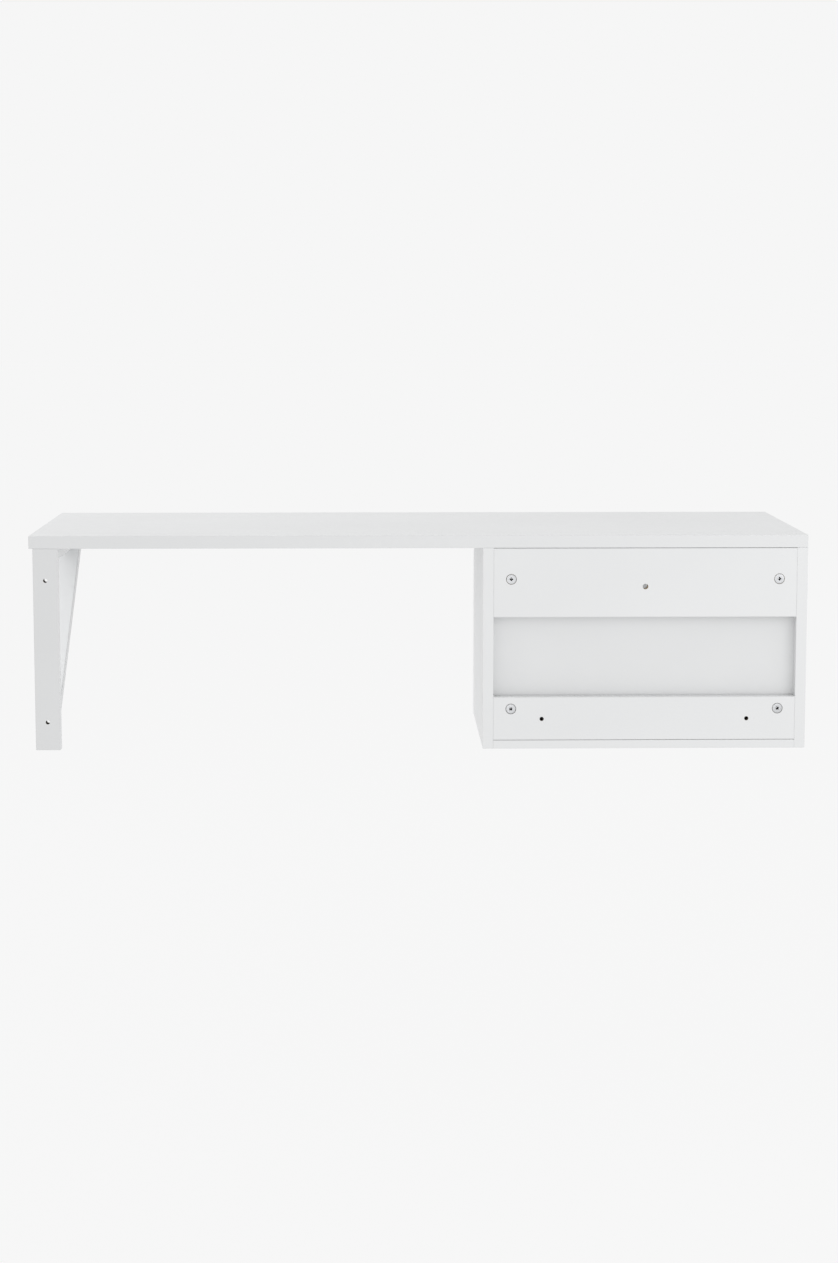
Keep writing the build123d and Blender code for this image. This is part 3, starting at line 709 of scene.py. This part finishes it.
def blackened_zinc(fittings):
    """Near-black, dull zinc: painted shade inside a cam lock's cross recess."""
    if "blackened_zinc" in bpy.data.materials:
        return bpy.data.materials["blackened_zinc"]
    recipe = Recipe("blackened_zinc")
    grain = recipe.noise(recipe.place(), 0.4 * MM, 3, 0.6)
    colour = recipe.mottle(grain, fittings.zinc_colour, 0.02, 0.05)
    roughness = recipe.spread(grain, 0.25, 0.75, 0.6, 0.8)
    return recipe.wear(colour, roughness, recipe.bump(grain, 0.04 * MM, 0.8), Metallic=1.0)


def plated_steel(fittings):
    """Zinc-plated steel: fine drawn scratches and a faint cool and warm play."""
    recipe = Recipe("plated_steel")
    haze = recipe.noise(recipe.place(), 2.5 * MM, 3, 0.6)
    scratch = recipe.noise(recipe.place(scale=along_axis(2, 6.0)), 0.25 * MM, 3, 0.6)
    red, green, blue = fittings.steel_colour
    colour = recipe.ramp(
        haze,
        (0.25, (0.92 * red, 0.95 * green, 1.04 * blue)),
        (0.5, (red, green, blue)),
        (0.75, (1.06 * red, 1.03 * green, 0.95 * blue)),
    )
    roughness = recipe.spread(scratch, 0.25, 0.75, 0.2, 0.36)
    return recipe.wear(colour, roughness, recipe.bump(scratch, 0.012 * MM, 0.7), Metallic=1.0)


def beech(name, fittings, grain_axis):
    """Unfinished beech: pores and streaks along the dowel, and short dark flecks."""
    recipe = Recipe(name)
    long_grain = recipe.place(scale=along_axis(grain_axis, 14.0))
    short_grain = recipe.place(scale=along_axis(grain_axis, 4.25))
    streaks = recipe.noise(long_grain, 0.8 * MM, 4, 0.6)
    flecks = recipe.noise(short_grain, 0.35 * MM, 2, 0.5)
    wood = recipe.ramp(
        streaks,
        (0.2, shade(fittings.beech_colour, 0.78)),
        (0.55, fittings.beech_colour),
        (0.85, shade(fittings.beech_colour, 1.18)),
    )
    fleck = recipe.spread(flecks, 0.62, 0.72, 0, 0.55)
    colour = recipe.blend(fleck, wood, rgba(fittings.beech_colour, 0.5))
    roughness = recipe.spread(streaks, 0.3, 0.7, 0.62, 0.78)
    return recipe.wear(colour, roughness, recipe.bump(streaks, 0.05 * MM, 0.8))


def powder_coat(runners):
    """White powder coat with its fine orange peel."""
    recipe = Recipe("powder_coat")
    point = recipe.place()
    peel = recipe.noise(point, 1.1 * MM, 2, 0.45)
    dust = recipe.noise(point, 9 * MM, 4, 0.6)
    colour = recipe.mottle(dust, runners.paint_colour, 0.97, 1.02)
    roughness = recipe.spread(dust, 0.3, 0.7, 0.28, 0.4)
    return recipe.wear(colour, roughness, recipe.bump(peel, 0.05 * MM, 0.8))


def moulded_nylon(name, runners, centre):
    """Moulded nylon, a little clouded, with a grey track worn round the tread."""
    recipe = Recipe(name)
    point = recipe.place(centre)
    split = recipe.add("ShaderNodeSeparateXYZ", {"Vector": point}).node
    squares = [recipe.sum("MULTIPLY", split.outputs[axis], split.outputs[axis]) for axis in (1, 2)]
    reach = recipe.sum("SQRT", recipe.sum("ADD", *squares))
    smudge = recipe.noise(point, 1.5 * MM, 4, 0.65)
    worn = recipe.spread(reach, 8.2 * MM, 8.45 * MM, 0, 0.3)
    clean = recipe.mottle(recipe.noise(point, 5 * MM, 2, 0.5), runners.nylon_colour, 0.97, 1.02)
    colour = recipe.blend(recipe.sum("MULTIPLY", worn, smudge), clean, rgba((0.3, 0.3, 0.29)))
    roughness = recipe.spread(smudge, 0.3, 0.7, 0.36, 0.5)
    normal = recipe.bump(smudge, 0.02 * MM, 0.7)
    return recipe.wear(colour, roughness, normal, Subsurface_Weight=0.12, Subsurface_Scale=MM)


def turned_aluminium(knob, centre):
    """Satin aluminium with fine turning marks round the knob's axis."""
    recipe = Recipe("turned_aluminium")
    point = recipe.place(centre)
    split = recipe.add("ShaderNodeSeparateXYZ", {"Vector": point}).node
    flat = recipe.add(
        "ShaderNodeCombineXYZ", {"X": split.outputs[0], "Y": 0.0, "Z": split.outputs[2]}
    )
    reach = recipe.add("ShaderNodeVectorMath", {0: flat}, output=1, operation="LENGTH")
    slant = recipe.sum("ADD", reach, recipe.sum("MULTIPLY", split.outputs[1], 0.6))
    marks = recipe.add(
        "ShaderNodeTexNoise",
        {"W": recipe.sum("DIVIDE", slant, knob.groove_size), "Scale": 1.0, "Detail": 3.0},
        noise_dimensions="1D",
    )
    colour = recipe.mottle(recipe.noise(point, 5 * MM, 3, 0.5), knob.colour, 0.96, 1.03)
    roughness = recipe.spread(marks, 0.25, 0.75, 0.18, 0.4)
    return recipe.wear(colour, roughness, recipe.bump(marks, 0.035 * MM, 0.9), Metallic=1.0)


# Pieces ------------------------------------------------------------------------------------------
def cam_lock(radius, depth, bolt_drop, head_room, cross_turn, fittings):
    """A cam lock, face up at the origin, open towards -X for its bolt."""
    rim = 0.7 * MM
    lock = turned("cam_lock", [
        (radius - 0.6 * MM, -depth),
        (radius, -depth + 0.6 * MM),
        (radius, -1.4 * MM),
        (radius - 0.3 * rim, -1.1 * MM),
        (radius - 0.9 * rim, -0.15 * MM),
        (radius - rim, -0.06 * MM),
        (radius - rim - 0.2 * MM, -0.02 * MM),
        (0.5 * radius, 0),
    ], sides=64)
    arrow = start(  # the pressed mark that points at the bolt
        bpy.ops.mesh.primitive_cone_add, vertices=3, radius1=0.15 * MM, radius2=0.75 * MM,
        depth=0.5 * MM, location=(-0.6 * radius, 0, 0), rotation=(0, 0, math.pi / 2),
    )
    pocket = block(
        (-radius - MM, -head_room, -bolt_drop - head_room),
        (head_room, head_room, -bolt_drop + head_room),
    )
    wide = 0.55 * head_room
    track_wall = radius - 2.6 * MM
    track = turned("track", [
        (track_wall, -bolt_drop - wide),
        (radius + MM, -bolt_drop - wide),
        (radius + MM, -bolt_drop + wide),
        (track_wall, -bolt_drop + wide),
    ], loop=True)
    begin_edit()
    bpy.ops.mesh.bisect(
        plane_co=(0.3 * radius, 0, 0), plane_no=(1, 0, 0), clear_outer=True, use_fill=True
    )
    end_edit(outwards=True)
    cut(lock, track, pocket, arrow)
    lock.data.materials.clear()
    for finish in (cast_zinc(fittings), blackened_zinc(fittings)):
        lock.data.materials.append(finish)
    for arm in cross_cutters(fittings.recess_width, fittings.recess_blade, fittings.recess_depth):
        arm.rotation_euler.z = cross_turn
        cut(lock, settle(arm))
    # Faces inside the cross recess take the second finish, near-black zinc, as painted shade
    deepest = -fittings.recess_depth - NEAR
    for face in lock.data.polygons:
        in_cross = face.center.xy.length < 0.5 * fittings.recess_width
        face.material_index = int(in_cross and deepest < face.center.z < -NEAR)
    smooth(lock)
    return lock


def cam_bolt(radius, threaded, length, pitch):
    """A cam bolt along Z: its thread starts at the origin and its head ends at the length."""
    core = 0.7 * radius
    neck = 0.62 * radius
    bolt = turned("cam_bolt", [
        (0.35 * radius, 0),
        (core, 1.1 * MM),
        (core, threaded - 0.4 * MM),
        (radius, threaded - 0.2 * MM),
        (radius, threaded),
        (COLLAR * radius, threaded + 0.1 * MM),
        (COLLAR * radius, threaded + 1.4 * MM),
        (0.9 * radius, threaded + 1.5 * MM),
        (0.9 * radius, length - 8.5 * MM),
        (neck, length - 7.6 * MM),
        (neck, length - 3.5 * MM),
        (0.85 * radius, length - 3.1 * MM),
        (radius, length - 2.6 * MM),
        (radius, length - 1.0 * MM),
        (0.86 * radius, length - 0.3 * MM),
        (0.7 * radius, length),
    ])
    cut(bolt, *cross_cutters(1.1 * radius, 0.6 * MM, 1.2 * MM, length))
    join("cam_bolt", bolt, thread(core, radius, pitch, 0.6 * MM, threaded - MM))
    smooth(bolt)
    return bolt


def dowel(radius, length, flutes):
    """A fluted dowel along Z, centred on the origin, with chamfered ends."""
    half = length / 2
    chamfer = 0.8 * MM
    plain = 1.6 * MM  # the length at each end that has no flutes
    peg = turned("dowel", [
        (radius - chamfer, -half),
        (radius, chamfer - half),
        (radius, plain - half),
        (radius, half - plain),
        (radius, half - chamfer),
        (radius - chamfer, half),
    ], sides=2 * flutes)
    fluted = half - (plain + chamfer) / 2
    begin_edit()
    pick(peg, "VERT", lambda vertex: abs(vertex.co.z) < fluted and vertex.index % 2)
    bpy.ops.transform.resize(value=(0.93, 0.93, 1), center_override=(0, 0, 0))
    end_edit()
    smooth(peg, 25)
    return peg


def screw(radius, head_radius, head_height, length, pitch, sunk):
    """A wood screw down from the origin, which is the top of its head."""
    core = 0.68 * radius
    tip_end = -length + 1.2 * radius
    tip = [(0.08 * radius, -length), (0.5 * core, tip_end), (core, tip_end + 1.2 * radius)]
    if sunk:
        head = [
            (core, -head_height - 2.2 * MM),
            (radius, -head_height - 1.6 * MM),
            (radius, -head_height),
            (head_radius, -0.15 * MM),
            (head_radius - 0.15 * MM, 0),
        ]
    else:
        head = [
            (core, -head_height - 1.2 * MM),
            (radius, -head_height - 0.8 * MM),
            (radius, -head_height),
            (head_radius - 0.1 * MM, -head_height),
            (head_radius, -head_height + 0.1 * MM),
            (head_radius, -0.7 * head_height),
            (0.95 * head_radius, -0.4 * head_height),
            (0.84 * head_radius, -0.12 * head_height),
            (0.7 * head_radius, 0),
        ]
    piece = turned("screw", tip + head)
    width = 1.05 * head_radius
    cut(piece, *cross_cutters(width, 0.22 * width, min(0.8 * head_height, 1.6 * MM)))
    run = length - head_height - 2.4 * MM - 1.2 * radius
    join("screw", piece, thread(core, radius, pitch, tip_end, run))
    smooth(piece)
    return piece


def rivet_pin(radius, head_radius, length):
    """A riveted pin down from the origin, which is the top of its domed head."""
    pin = turned("pin", [
        (0.8 * radius, -length),
        (radius, -length + 0.3 * MM),
        (radius, -0.5 * MM),
        (head_radius, -0.5 * MM),
        (head_radius, -0.35 * MM),
        (0.8 * head_radius, -0.12 * MM),
        (0.45 * head_radius, 0),
    ])
    smooth(pin)
    return pin


def roller(radius, bore, width, ribs):
    """A nylon roller about Z, its width centred on the origin: bore, hub, ribbed web and tread."""
    half = width / 2
    overlap = 0.1 * MM  # how far a rib reaches into the hub and the tread
    rib_half = 0.4 * MM
    hub = bore + 1.5 * MM
    inner_tread = radius - 1.6 * MM
    web = half - 1.2 * MM
    one_side = [
        (bore, half - 0.2 * MM),
        (bore + 0.2 * MM, half),
        (hub, half),
        (hub + 0.2 * MM, web),
        (inner_tread - 0.2 * MM, web),
        (inner_tread, half - 0.25 * MM),
        (inner_tread + 0.2 * MM, half - 0.05 * MM),
        (radius - 0.6 * MM, half - 0.05 * MM),
        (radius - 0.2 * MM, half - 0.25 * MM),
        (radius - 0.05 * MM, half - 0.6 * MM),
        (radius, half - 1.3 * MM),
    ]
    other_side = [(ring, -height) for ring, height in reversed(one_side)]
    parts = [turned("roller", one_side + other_side, sides=64, loop=True)]
    for number in range(ribs):
        rib = block(
            (hub - overlap, -rib_half, rib_half - half),
            (inner_tread + overlap, rib_half, half - rib_half),
        )
        rib.rotation_euler.z = 2 * math.pi * number / ribs
        parts.append(settle(rib))
    wheel = join("roller", *parts)
    smooth(wheel)
    return wheel


def knob(shape, length, rim):
    """A turned knob up from the origin: hollow-curved foot, neck, flared rim and low crown."""
    base = shape.base_share * rim
    neck = shape.neck_share * rim
    crown = rim - 1.4 * MM
    bore, bore_depth = 2.05 * MM, 10 * MM
    edge = 0.3 * MM
    neck_end, rim_start, rim_end = 0.5 * length, 0.75 * length, 0.9 * length
    outline = [(bore, bore_depth), (bore, edge), (bore + edge, 0), (base - edge, 0)]
    outline += [(base, edge), (base, 1.2 * MM)]
    outline += quarter_turn((base, 1.5 * MM), (neck, neck_end - 5.5 * MM), upright=False)
    outline += quarter_turn((neck, neck_end), (rim, rim_start), upright=True)
    outline += quarter_turn((rim, rim_start), (crown, rim_end), upright=True)[1:]
    for step in range(1, CURVE_STEPS + 1):
        share = 1 - step / CURVE_STEPS
        height = length - (length - rim_end) * share * share
        outline.append((max(crown * share, 0.15 * MM), height))
    piece = turned("knob", outline, sides=72)
    smooth(piece, 40)
    return piece


def quarter_turn(first, last, upright):
    """Outline points on a quarter of an ellipse, which leaves the first upright or level."""
    points = []
    for step in range(CURVE_STEPS + 1):
        angle = math.pi / 2 * step / CURVE_STEPS
        late, early = 1 - math.cos(angle), math.sin(angle)
        outwards, upwards = (late, early) if upright else (early, late)
        points.append((
            first[0] + (last[0] - first[0]) * outwards,
            first[1] + (last[1] - first[1]) * upwards,
        ))
    return points


def bent_sheet(name, web_low, web_high, sheet, flanges):
    """A runner of bent sheet: an upright web, and flanges of (low level, towards x)."""
    piece = block(web_low, web_high)
    piece.name = name
    begin_edit()
    for level, _ in flanges:
        for height in (level, level + sheet):
            if web_low[2] < height < web_high[2]:
                bpy.ops.mesh.select_all(action="SELECT")
                bpy.ops.mesh.bisect(plane_co=(0, 0, height), plane_no=(0, 0, 1))
    for level, reach in flanges:
        side = 1 if reach > web_high[0] else -1
        wall = web_high[0] if side > 0 else web_low[0]
        pick(
            piece,
            "FACE",
            lambda face: face.normal.x * side > 0.9 and 0 < face.center.z - level < sheet
            and abs(face.center.x - wall) < NEAR,
        )
        bpy.ops.mesh.extrude_region_move(TRANSFORM_OT_translate={"value": (reach - wall, 0, 0)})
    bpy.ops.mesh.select_all(action="SELECT")
    bpy.ops.mesh.remove_doubles(threshold=WELD)
    end_edit(outwards=True)
    return piece


def raise_lip(piece, inner_x, outer_x, level, height):
    """Draw the outermost strip of a flange up into a lip."""
    begin_edit()
    bpy.ops.mesh.bisect(plane_co=(inner_x, 0, 0), plane_no=(1, 0, 0))
    pick(
        piece,
        "FACE",
        lambda face: face.normal.z > 0.9 and inner_x < face.center.x < outer_x
        and abs(face.center.z - level) < NEAR,
    )
    bpy.ops.mesh.extrude_region_move(TRANSFORM_OT_translate={"value": (0, 0, height)})
    end_edit()


def round_bends(piece):
    """Round all the square edges of a bent sheet a little."""
    finish_modifier(
        piece, "BEVEL", width=0.3 * MM, segments=2, limit_method="ANGLE",
        angle_limit=math.radians(50),
    )


def drill_sideways(piece, y, z, radius, slot=0.0):
    """A round hole, or a slot along Y, right through an upright web."""
    middle = middle_of(np.array([corner for corner in piece.bound_box]))
    drill = start(
        bpy.ops.mesh.primitive_cylinder_add, vertices=24, radius=radius, depth=60 * MM,
        location=(middle.x, y, z), rotation=(0, math.pi / 2, 0),
    )
    if slot:
        begin_edit()
        pick(drill, "VERT", lambda vertex: vertex.co.y > y + 0.01 * MM)
        bpy.ops.transform.translate(value=(0, slot, 0))
        end_edit()
    cut(piece, drill)


def mirrored_copy(piece, name):
    """The right-hand twin of a left-hand piece."""
    twin = join(name, duplicate(piece))
    flip = Matrix.Diagonal((-1, 1, 1, 1))
    twin.matrix_world = Matrix.Translation((2 * cabinet_middle, 0, 0)) @ flip
    settle(twin)
    begin_edit()
    end_edit(outwards=True)
    smooth(twin)
    return twin


def left_solids(node):
    """The solids of a node that lie in the left half of the cabinet."""
    return [cloud for cloud in solids_of(node) if middle_of(cloud).x < cabinet_middle]


# Operators ---------------------------------------------------------------------------------------
class DESK_OT_finish_boards(bpy.types.Operator):
    """Give every board its melamine face, edging and chipboard core"""

    bl_idname = "desk.finish_boards"
    bl_label = "Finish boards"

    def execute(self, context):
        finish = context.scene.desk_boards
        for boards, cover in ((BOARDS, melamine), (HARDBOARDS, lacquered_hardboard)):
            for thin, nodes in boards.items():
                for node in nodes:
                    low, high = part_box(node)
                    centre, half = (low + high) / 2, (high - low) / 2
                    self.dress(node, cover(node, thin, finish, centre, half))
        self.dress("bracket_brace", self.brace_finish(finish))
        return {"FINISHED"}

    @staticmethod
    def dress(node, material):
        """Put a material on a CAD node."""
        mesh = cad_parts[node].data
        mesh.materials.clear()
        mesh.materials.append(material)

    @staticmethod
    def brace_finish(finish):
        """The brace's finish, laid along its slope, its broad face painted lighter and its edging
        darker as painted light and shade.
        """
        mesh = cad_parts["bracket_brace"].data
        low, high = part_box("bracket_brace")
        broad = max(
            (face for face in mesh.polygons if abs(face.normal.x) < 0.1 and face.normal.y < 0),
            key=lambda face: face.area,
        )
        slope = math.atan2(-broad.normal.y, -broad.normal.z)
        middle = (low + high) / 2
        levels = [(vertex.co - middle).dot(broad.normal) for vertex in mesh.vertices]
        thickness = max(levels) - min(levels)
        shift = (max(levels) + min(levels)) / 2
        centre = middle + broad.normal * shift
        half = ((high.x - low.x) / 2, 1.0, thickness / 2)
        turn = (-slope, 0, 0)
        return melamine("bracket_brace", 2, finish, centre, half, turn, free_ends=(1,))


class DESK_OT_make_cam_locks(bpy.types.Operator):
    """Model the cam locks and set one in each bore"""

    bl_idname = "desk.make_cam_locks"
    bl_label = "Make cam locks"

    def execute(self, context):
        fittings = context.scene.desk_fittings
        for node, body, facing, away, bolts in CAM_LOCKS:
            solids = solids_of(node)
            first = middle_of(solids[0])
            up = heading(facing, first)
            side = heading(away, first)
            radius = extent(solids[0], up.cross(side)) / 2
            depth = extent(solids[0], up)
            face = first + up * depth / 2
            bolt_drop = (face - middle_of(solids_of(bolts)[0])).dot(up)
            head_room = extent(solids_of(bolts)[0], up) / 2 + 0.2 * MM
            places = {}  # each level's locks were tightened to a different turn
            for cloud in solids:
                middle = middle_of(cloud)
                up = heading(facing, middle)
                placing = stand(middle + up * depth / 2, up, heading(away, middle))
                places.setdefault(round(middle.z, 3), []).append(placing)
            rows = []
            for row, level in enumerate(sorted(places, reverse=True)):
                turn = row * math.pi / 4
                master = cam_lock(radius, depth, bolt_drop, head_room, turn, fittings)
                rows.append(copies(f"row_{row}", master, places[level]))
            piece = join(f"{node}_cast", *rows)
            hand_over(piece, body, None, node)
        return {"FINISHED"}


class DESK_OT_make_cam_bolts(bpy.types.Operator):
    """Model the cam bolts with their threads, collars and necks"""

    bl_idname = "desk.make_cam_bolts"
    bl_label = "Make cam bolts"

    def execute(self, context):
        fittings = context.scene.desk_fittings
        steel = plated_steel(fittings)
        threads = {"large": fittings.large_thread, "small": fittings.small_thread}
        for node, body, facing, size in CAM_BOLTS:
            length, collar_radius, placings = like_fasteners(node, facing, -1)
            master = cam_bolt(collar_radius / COLLAR, threads[size], length, fittings.pitch)
            piece = copies(f"{node}_threaded", master, placings)
            hand_over(piece, body, steel, node)
        return {"FINISHED"}


class DESK_OT_make_dowels(bpy.types.Operator):
    """Model the fluted beech dowels"""

    bl_idname = "desk.make_dowels"
    bl_label = "Make dowels"

    def execute(self, context):
        fittings = context.scene.desk_fittings
        for node in DOWELS:
            solids = solids_of(node)
            placings = []
            for cloud in solids:
                _, directions = np.linalg.eigh(np.cov((cloud - cloud.mean(0)).T))
                along = Vector(directions[:, -1])
                placings.append(stand(middle_of(cloud), along, across(along)))
            ways = [placing.col[2].xyz for placing in placings]
            length = max(extent(cloud, way) for cloud, way in zip(solids, ways))
            radius = extent(solids[0], across(ways[0])) / 2
            master = dowel(radius, length, fittings.flutes)
            piece = copies(f"{node}_fluted", master, placings)
            grain = max(range(3), key=lambda axis: abs(ways[0][axis]))
            hand_over(piece, "desk", beech(f"beech_{node}", fittings, grain), node)
        return {"FINISHED"}


class DESK_OT_make_screws(bpy.types.Operator):
    """Model the screws of the bracket, the drawer, the runners and the knob"""

    bl_idname = "desk.make_screws"
    bl_label = "Make screws"

    def execute(self, context):
        fittings = context.scene.desk_fittings
        steel = plated_steel(fittings)
        for node, body, facing, head, height_share in SCREWS:
            length, head_radius, placings = like_fasteners(node, facing, 1)
            shank_share = 0.5 if head_radius > LARGE_HEAD else 0.583
            master = screw(
                shank_share * head_radius, head_radius, height_share * head_radius, length,
                fittings.pitch, head == "sunk",
            )
            piece = copies(f"{node}_threaded", master, placings)
            hand_over(piece, body, steel, node)
        return {"FINISHED"}


class DESK_OT_make_runners(bpy.types.Operator):
    """Model the four runners of bent, slotted and painted sheet"""

    bl_idname = "desk.make_runners"
    bl_label = "Make runners"

    def execute(self, context):
        runners = context.scene.desk_runners
        paint = powder_coat(runners)
        for name, body, make in (
            ("cabinet_runner", "desk", self.cabinet_runner),
            ("drawer_runner", "drawer", self.drawer_runner),
        ):
            left = make(runners)
            smooth(left)
            join(f"{name}_left_bent", left)
            right = mirrored_copy(left, f"{name}_right_bent")
            hand_over(left, body, paint, f"{name}_left")
            hand_over(right, body, paint, f"{name}_right")
        return {"FINISHED"}

    def cabinet_runner(self, runners):
        """The left cabinet runner, with its track, lip, end stop, holes and slots."""
        low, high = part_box("cabinet_runner_left")
        sheet = runners.sheet
        flanges = [(low.z, high.x), (high.z - sheet, low.x + runners.top_flange)]
        web_high = (low.x + sheet, high.y, high.z)
        piece = bent_sheet("runner", low, web_high, sheet, flanges)
        raise_lip(piece, high.x - 0.5 * sheet, high.x, low.z + sheet, runners.lip)
        round_bends(piece)
        pins = left_solids("cabinet_roller_pins")
        self.drill_web(piece, left_solids("cabinet_runner_screws"), pins, runners)
        stop_y = middle_of(pins[0]).y + 30 * MM  # just behind the roller
        return self.add_stop(piece, stop_y, low.x + 2 * sheet, high.x - sheet, low.z + sheet)

    def drawer_runner(self, runners):
        """The left drawer runner, with its track, its shelf under the drawer side, and holes."""
        low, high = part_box("drawer_runner_left")
        sheet = runners.sheet
        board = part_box("drawer_side_left")[0].x
        flanges = [(low.z, high.x), (high.z - sheet, low.x)]
        web_low = (board - sheet, low.y, low.z)
        web_high = (board, high.y, high.z)
        piece = bent_sheet("runner", web_low, web_high, sheet, flanges)
        round_bends(piece)
        pins = left_solids("drawer_roller_pins")
        self.drill_web(piece, left_solids("drawer_runner_screws"), pins, runners)
        return piece

    @staticmethod
    def drill_web(piece, screws, pins, runners):
        """Screw holes, pin holes, and a slot beside each screw."""
        screw_hole, slot_hole, pin_hole = 1.9 * MM, 2.1 * MM, 2.0 * MM
        to_slot = 18 * MM  # from a screw to the near end of its slot
        for middle in map(middle_of, screws):
            drill_sideways(piece, middle.y, middle.z, screw_hole)
            slot_y = middle.y + to_slot
            drill_sideways(piece, slot_y, middle.z, slot_hole, runners.slot_length)
        for middle in map(middle_of, pins):
            drill_sideways(piece, middle.y, middle.z, pin_hole)

    @staticmethod
    def add_stop(piece, y, from_x, to_x, level):
        """The half-round stop pressed up out of the track."""
        stop = start(
            bpy.ops.mesh.primitive_cylinder_add, vertices=24, radius=2.2 * MM,
            depth=to_x - from_x, location=((from_x + to_x) / 2, y, level - 0.6 * MM),
            rotation=(0, math.pi / 2, 0),
        )
        begin_edit()
        bpy.ops.mesh.bisect(
            plane_co=(0, 0, level - 0.2 * MM), plane_no=(0, 0, 1), clear_inner=True, use_fill=True
        )
        end_edit()
        return join(piece.name, piece, stop)


class DESK_OT_make_rollers(bpy.types.Operator):
    """Model the nylon rollers and the riveted pins that they turn on"""

    bl_idname = "desk.make_rollers"
    bl_label = "Make rollers"

    def execute(self, context):
        runners = context.scene.desk_runners
        for name in ROLLERS:
            low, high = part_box(name)
            middle = (low + high) / 2
            radius = (high.z - low.z) / 2
            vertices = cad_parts[name].data.vertices
            bore = min((vertex.co - middle).yz.length for vertex in vertices)
            master = roller(radius, bore, high.x - low.x, runners.ribs)
            placing = stand(middle, (1, 0, 0), (0, 0, 1))
            piece = copies(f"{name}_moulded", master, [placing])
            nylon = moulded_nylon(f"nylon_{name}", runners, middle)
            hand_over(piece, name, nylon, name)
        steel = plated_steel(context.scene.desk_fittings)
        for node, body, facing in PINS:
            length, head_radius, placings = like_fasteners(node, facing, 1)
            master = rivet_pin(PIN_SHANK * head_radius, head_radius, length)
            piece = copies(f"{node}_riveted", master, placings)
            hand_over(piece, body, steel, node)
        return {"FINISHED"}


class DESK_OT_make_knob(bpy.types.Operator):
    """Turn the knob of the drawer"""

    bl_idname = "desk.make_knob"
    bl_label = "Make knob"

    def execute(self, context):
        shape = context.scene.desk_knob
        low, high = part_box("drawer_knob")
        middle = (low + high) / 2
        master = knob(shape, high.y - low.y, (high.z - low.z) / 2)
        foot = Vector((middle.x, high.y, middle.z))
        piece = copies("drawer_knob_turned", master, [stand(foot, (0, -1, 0), (1, 0, 0))])
        hand_over(piece, "drawer", turned_aluminium(shape, middle), "drawer_knob")
        return {"FINISHED"}


class DESK_OT_set_stage(bpy.types.Operator):
    """Set up the floor, the surround, the lights and the camera"""

    bl_idname = "desk.set_stage"
    bl_label = "Set stage"

    def execute(self, context):
        studio = context.scene.desk_studio
        self.lay_floor(studio)
        self.light_surround(context.scene, studio)
        for name, place, size in LIGHTS:
            self.hang_light(f"{name}_light", place, size, getattr(studio, f"{name}_power"))
        self.place_camera(context.scene, studio)
        return {"FINISHED"}

    @staticmethod
    def lay_floor(studio):
        """A wide pale floor with a trace of texture, as bright as the surround."""
        place = (0, 0, studio.floor_level)
        floor = start(bpy.ops.mesh.primitive_plane_add, size=80, location=place)
        floor.name = "floor"
        recipe = Recipe("pale_floor")
        speck = recipe.noise(recipe.place(), 20 * MM, 3, 0.6)
        colour = recipe.mottle(speck, (0.05, 0.05, 0.05), 0.98, 1.02)
        recipe.wear(
            colour, 1.0, Specular_IOR_Level=0.0, Emission_Color=(1, 1, 1, 1),
            Emission_Strength=0.95 * studio.surround,
        )
        floor.data.materials.append(recipe.material)

    @staticmethod
    def light_surround(scene, studio):
        """An even pale surround."""
        world = bpy.data.worlds.new("surround")
        scene.world = world
        world.use_nodes = True
        background = world.node_tree.nodes["Background"]
        background.inputs["Color"].default_value = (1, 1, 1, 1)
        background.inputs["Strength"].default_value = studio.surround
        scene.view_settings.view_transform = "Standard"

    @staticmethod
    def hang_light(name, place, size, power):
        """A soft square light that looks at the desk."""
        bpy.ops.object.light_add(type="AREA", location=place)
        light = bpy.context.object
        light.name = name
        light.data.size = size
        light.data.energy = power
        light.visible_camera = False
        target = (cad_low + cad_high) / 2
        light.rotation_euler = (target - Vector(place)).to_track_quat("-Z", "Y").to_euler()

    @staticmethod
    def place_camera(scene, studio):
        """The camera on the wall side of the desk, a little above it."""
        bpy.ops.object.camera_add(location=studio.camera_place)
        camera = bpy.context.object
        camera.rotation_euler = (
            math.pi / 2 - studio.camera_tilt, 0, math.pi - studio.camera_turn
        )
        camera.data.lens = studio.camera_lens
        camera.data.sensor_width = 36
        camera.data.clip_end = 200
        scene.camera = camera


OPERATORS = (
    DESK_OT_set_stage,
    DESK_OT_finish_boards,
    DESK_OT_make_cam_locks,
    DESK_OT_make_cam_bolts,
    DESK_OT_make_dowels,
    DESK_OT_make_screws,
    DESK_OT_make_runners,
    DESK_OT_make_rollers,
    DESK_OT_make_knob,
)


class DESK_PT_finishes(bpy.types.Panel):
    """The desk's pieces and the sizes that shape them"""

    bl_idname = "DESK_PT_finishes"
    bl_label = "Wall-hung desk"
    bl_space_type = "VIEW_3D"
    bl_region_type = "UI"
    bl_category = "Desk"

    def draw(self, context):
        layout = self.layout
        for operator in OPERATORS:
            layout.operator(operator.bl_idname)
        for name, group in GROUPS.items():
            column = layout.box().column()
            for setting in group.__annotations__:
                column.prop(getattr(context.scene, name), setting)


def register():
    for cls in (*GROUPS.values(), *OPERATORS, DESK_PT_finishes):
        bpy.utils.register_class(cls)
    for name, group in GROUPS.items():
        setattr(bpy.types.Scene, name, bpy.props.PointerProperty(type=group))


def unregister():
    for name in GROUPS:
        delattr(bpy.types.Scene, name)
    for cls in (DESK_PT_finishes, *reversed(OPERATORS), *GROUPS.values()):
        bpy.utils.unregister_class(cls)


def main():
    """Build everything in order."""
    register()
    bpy.ops.desk.set_stage()
    bpy.ops.desk.finish_boards()
    bpy.ops.desk.make_cam_locks()
    bpy.ops.desk.make_cam_bolts()
    bpy.ops.desk.make_dowels()
    bpy.ops.desk.make_screws()
    bpy.ops.desk.make_runners()
    bpy.ops.desk.make_rollers()
    bpy.ops.desk.make_knob()


if __name__ == "__main__":
    main()
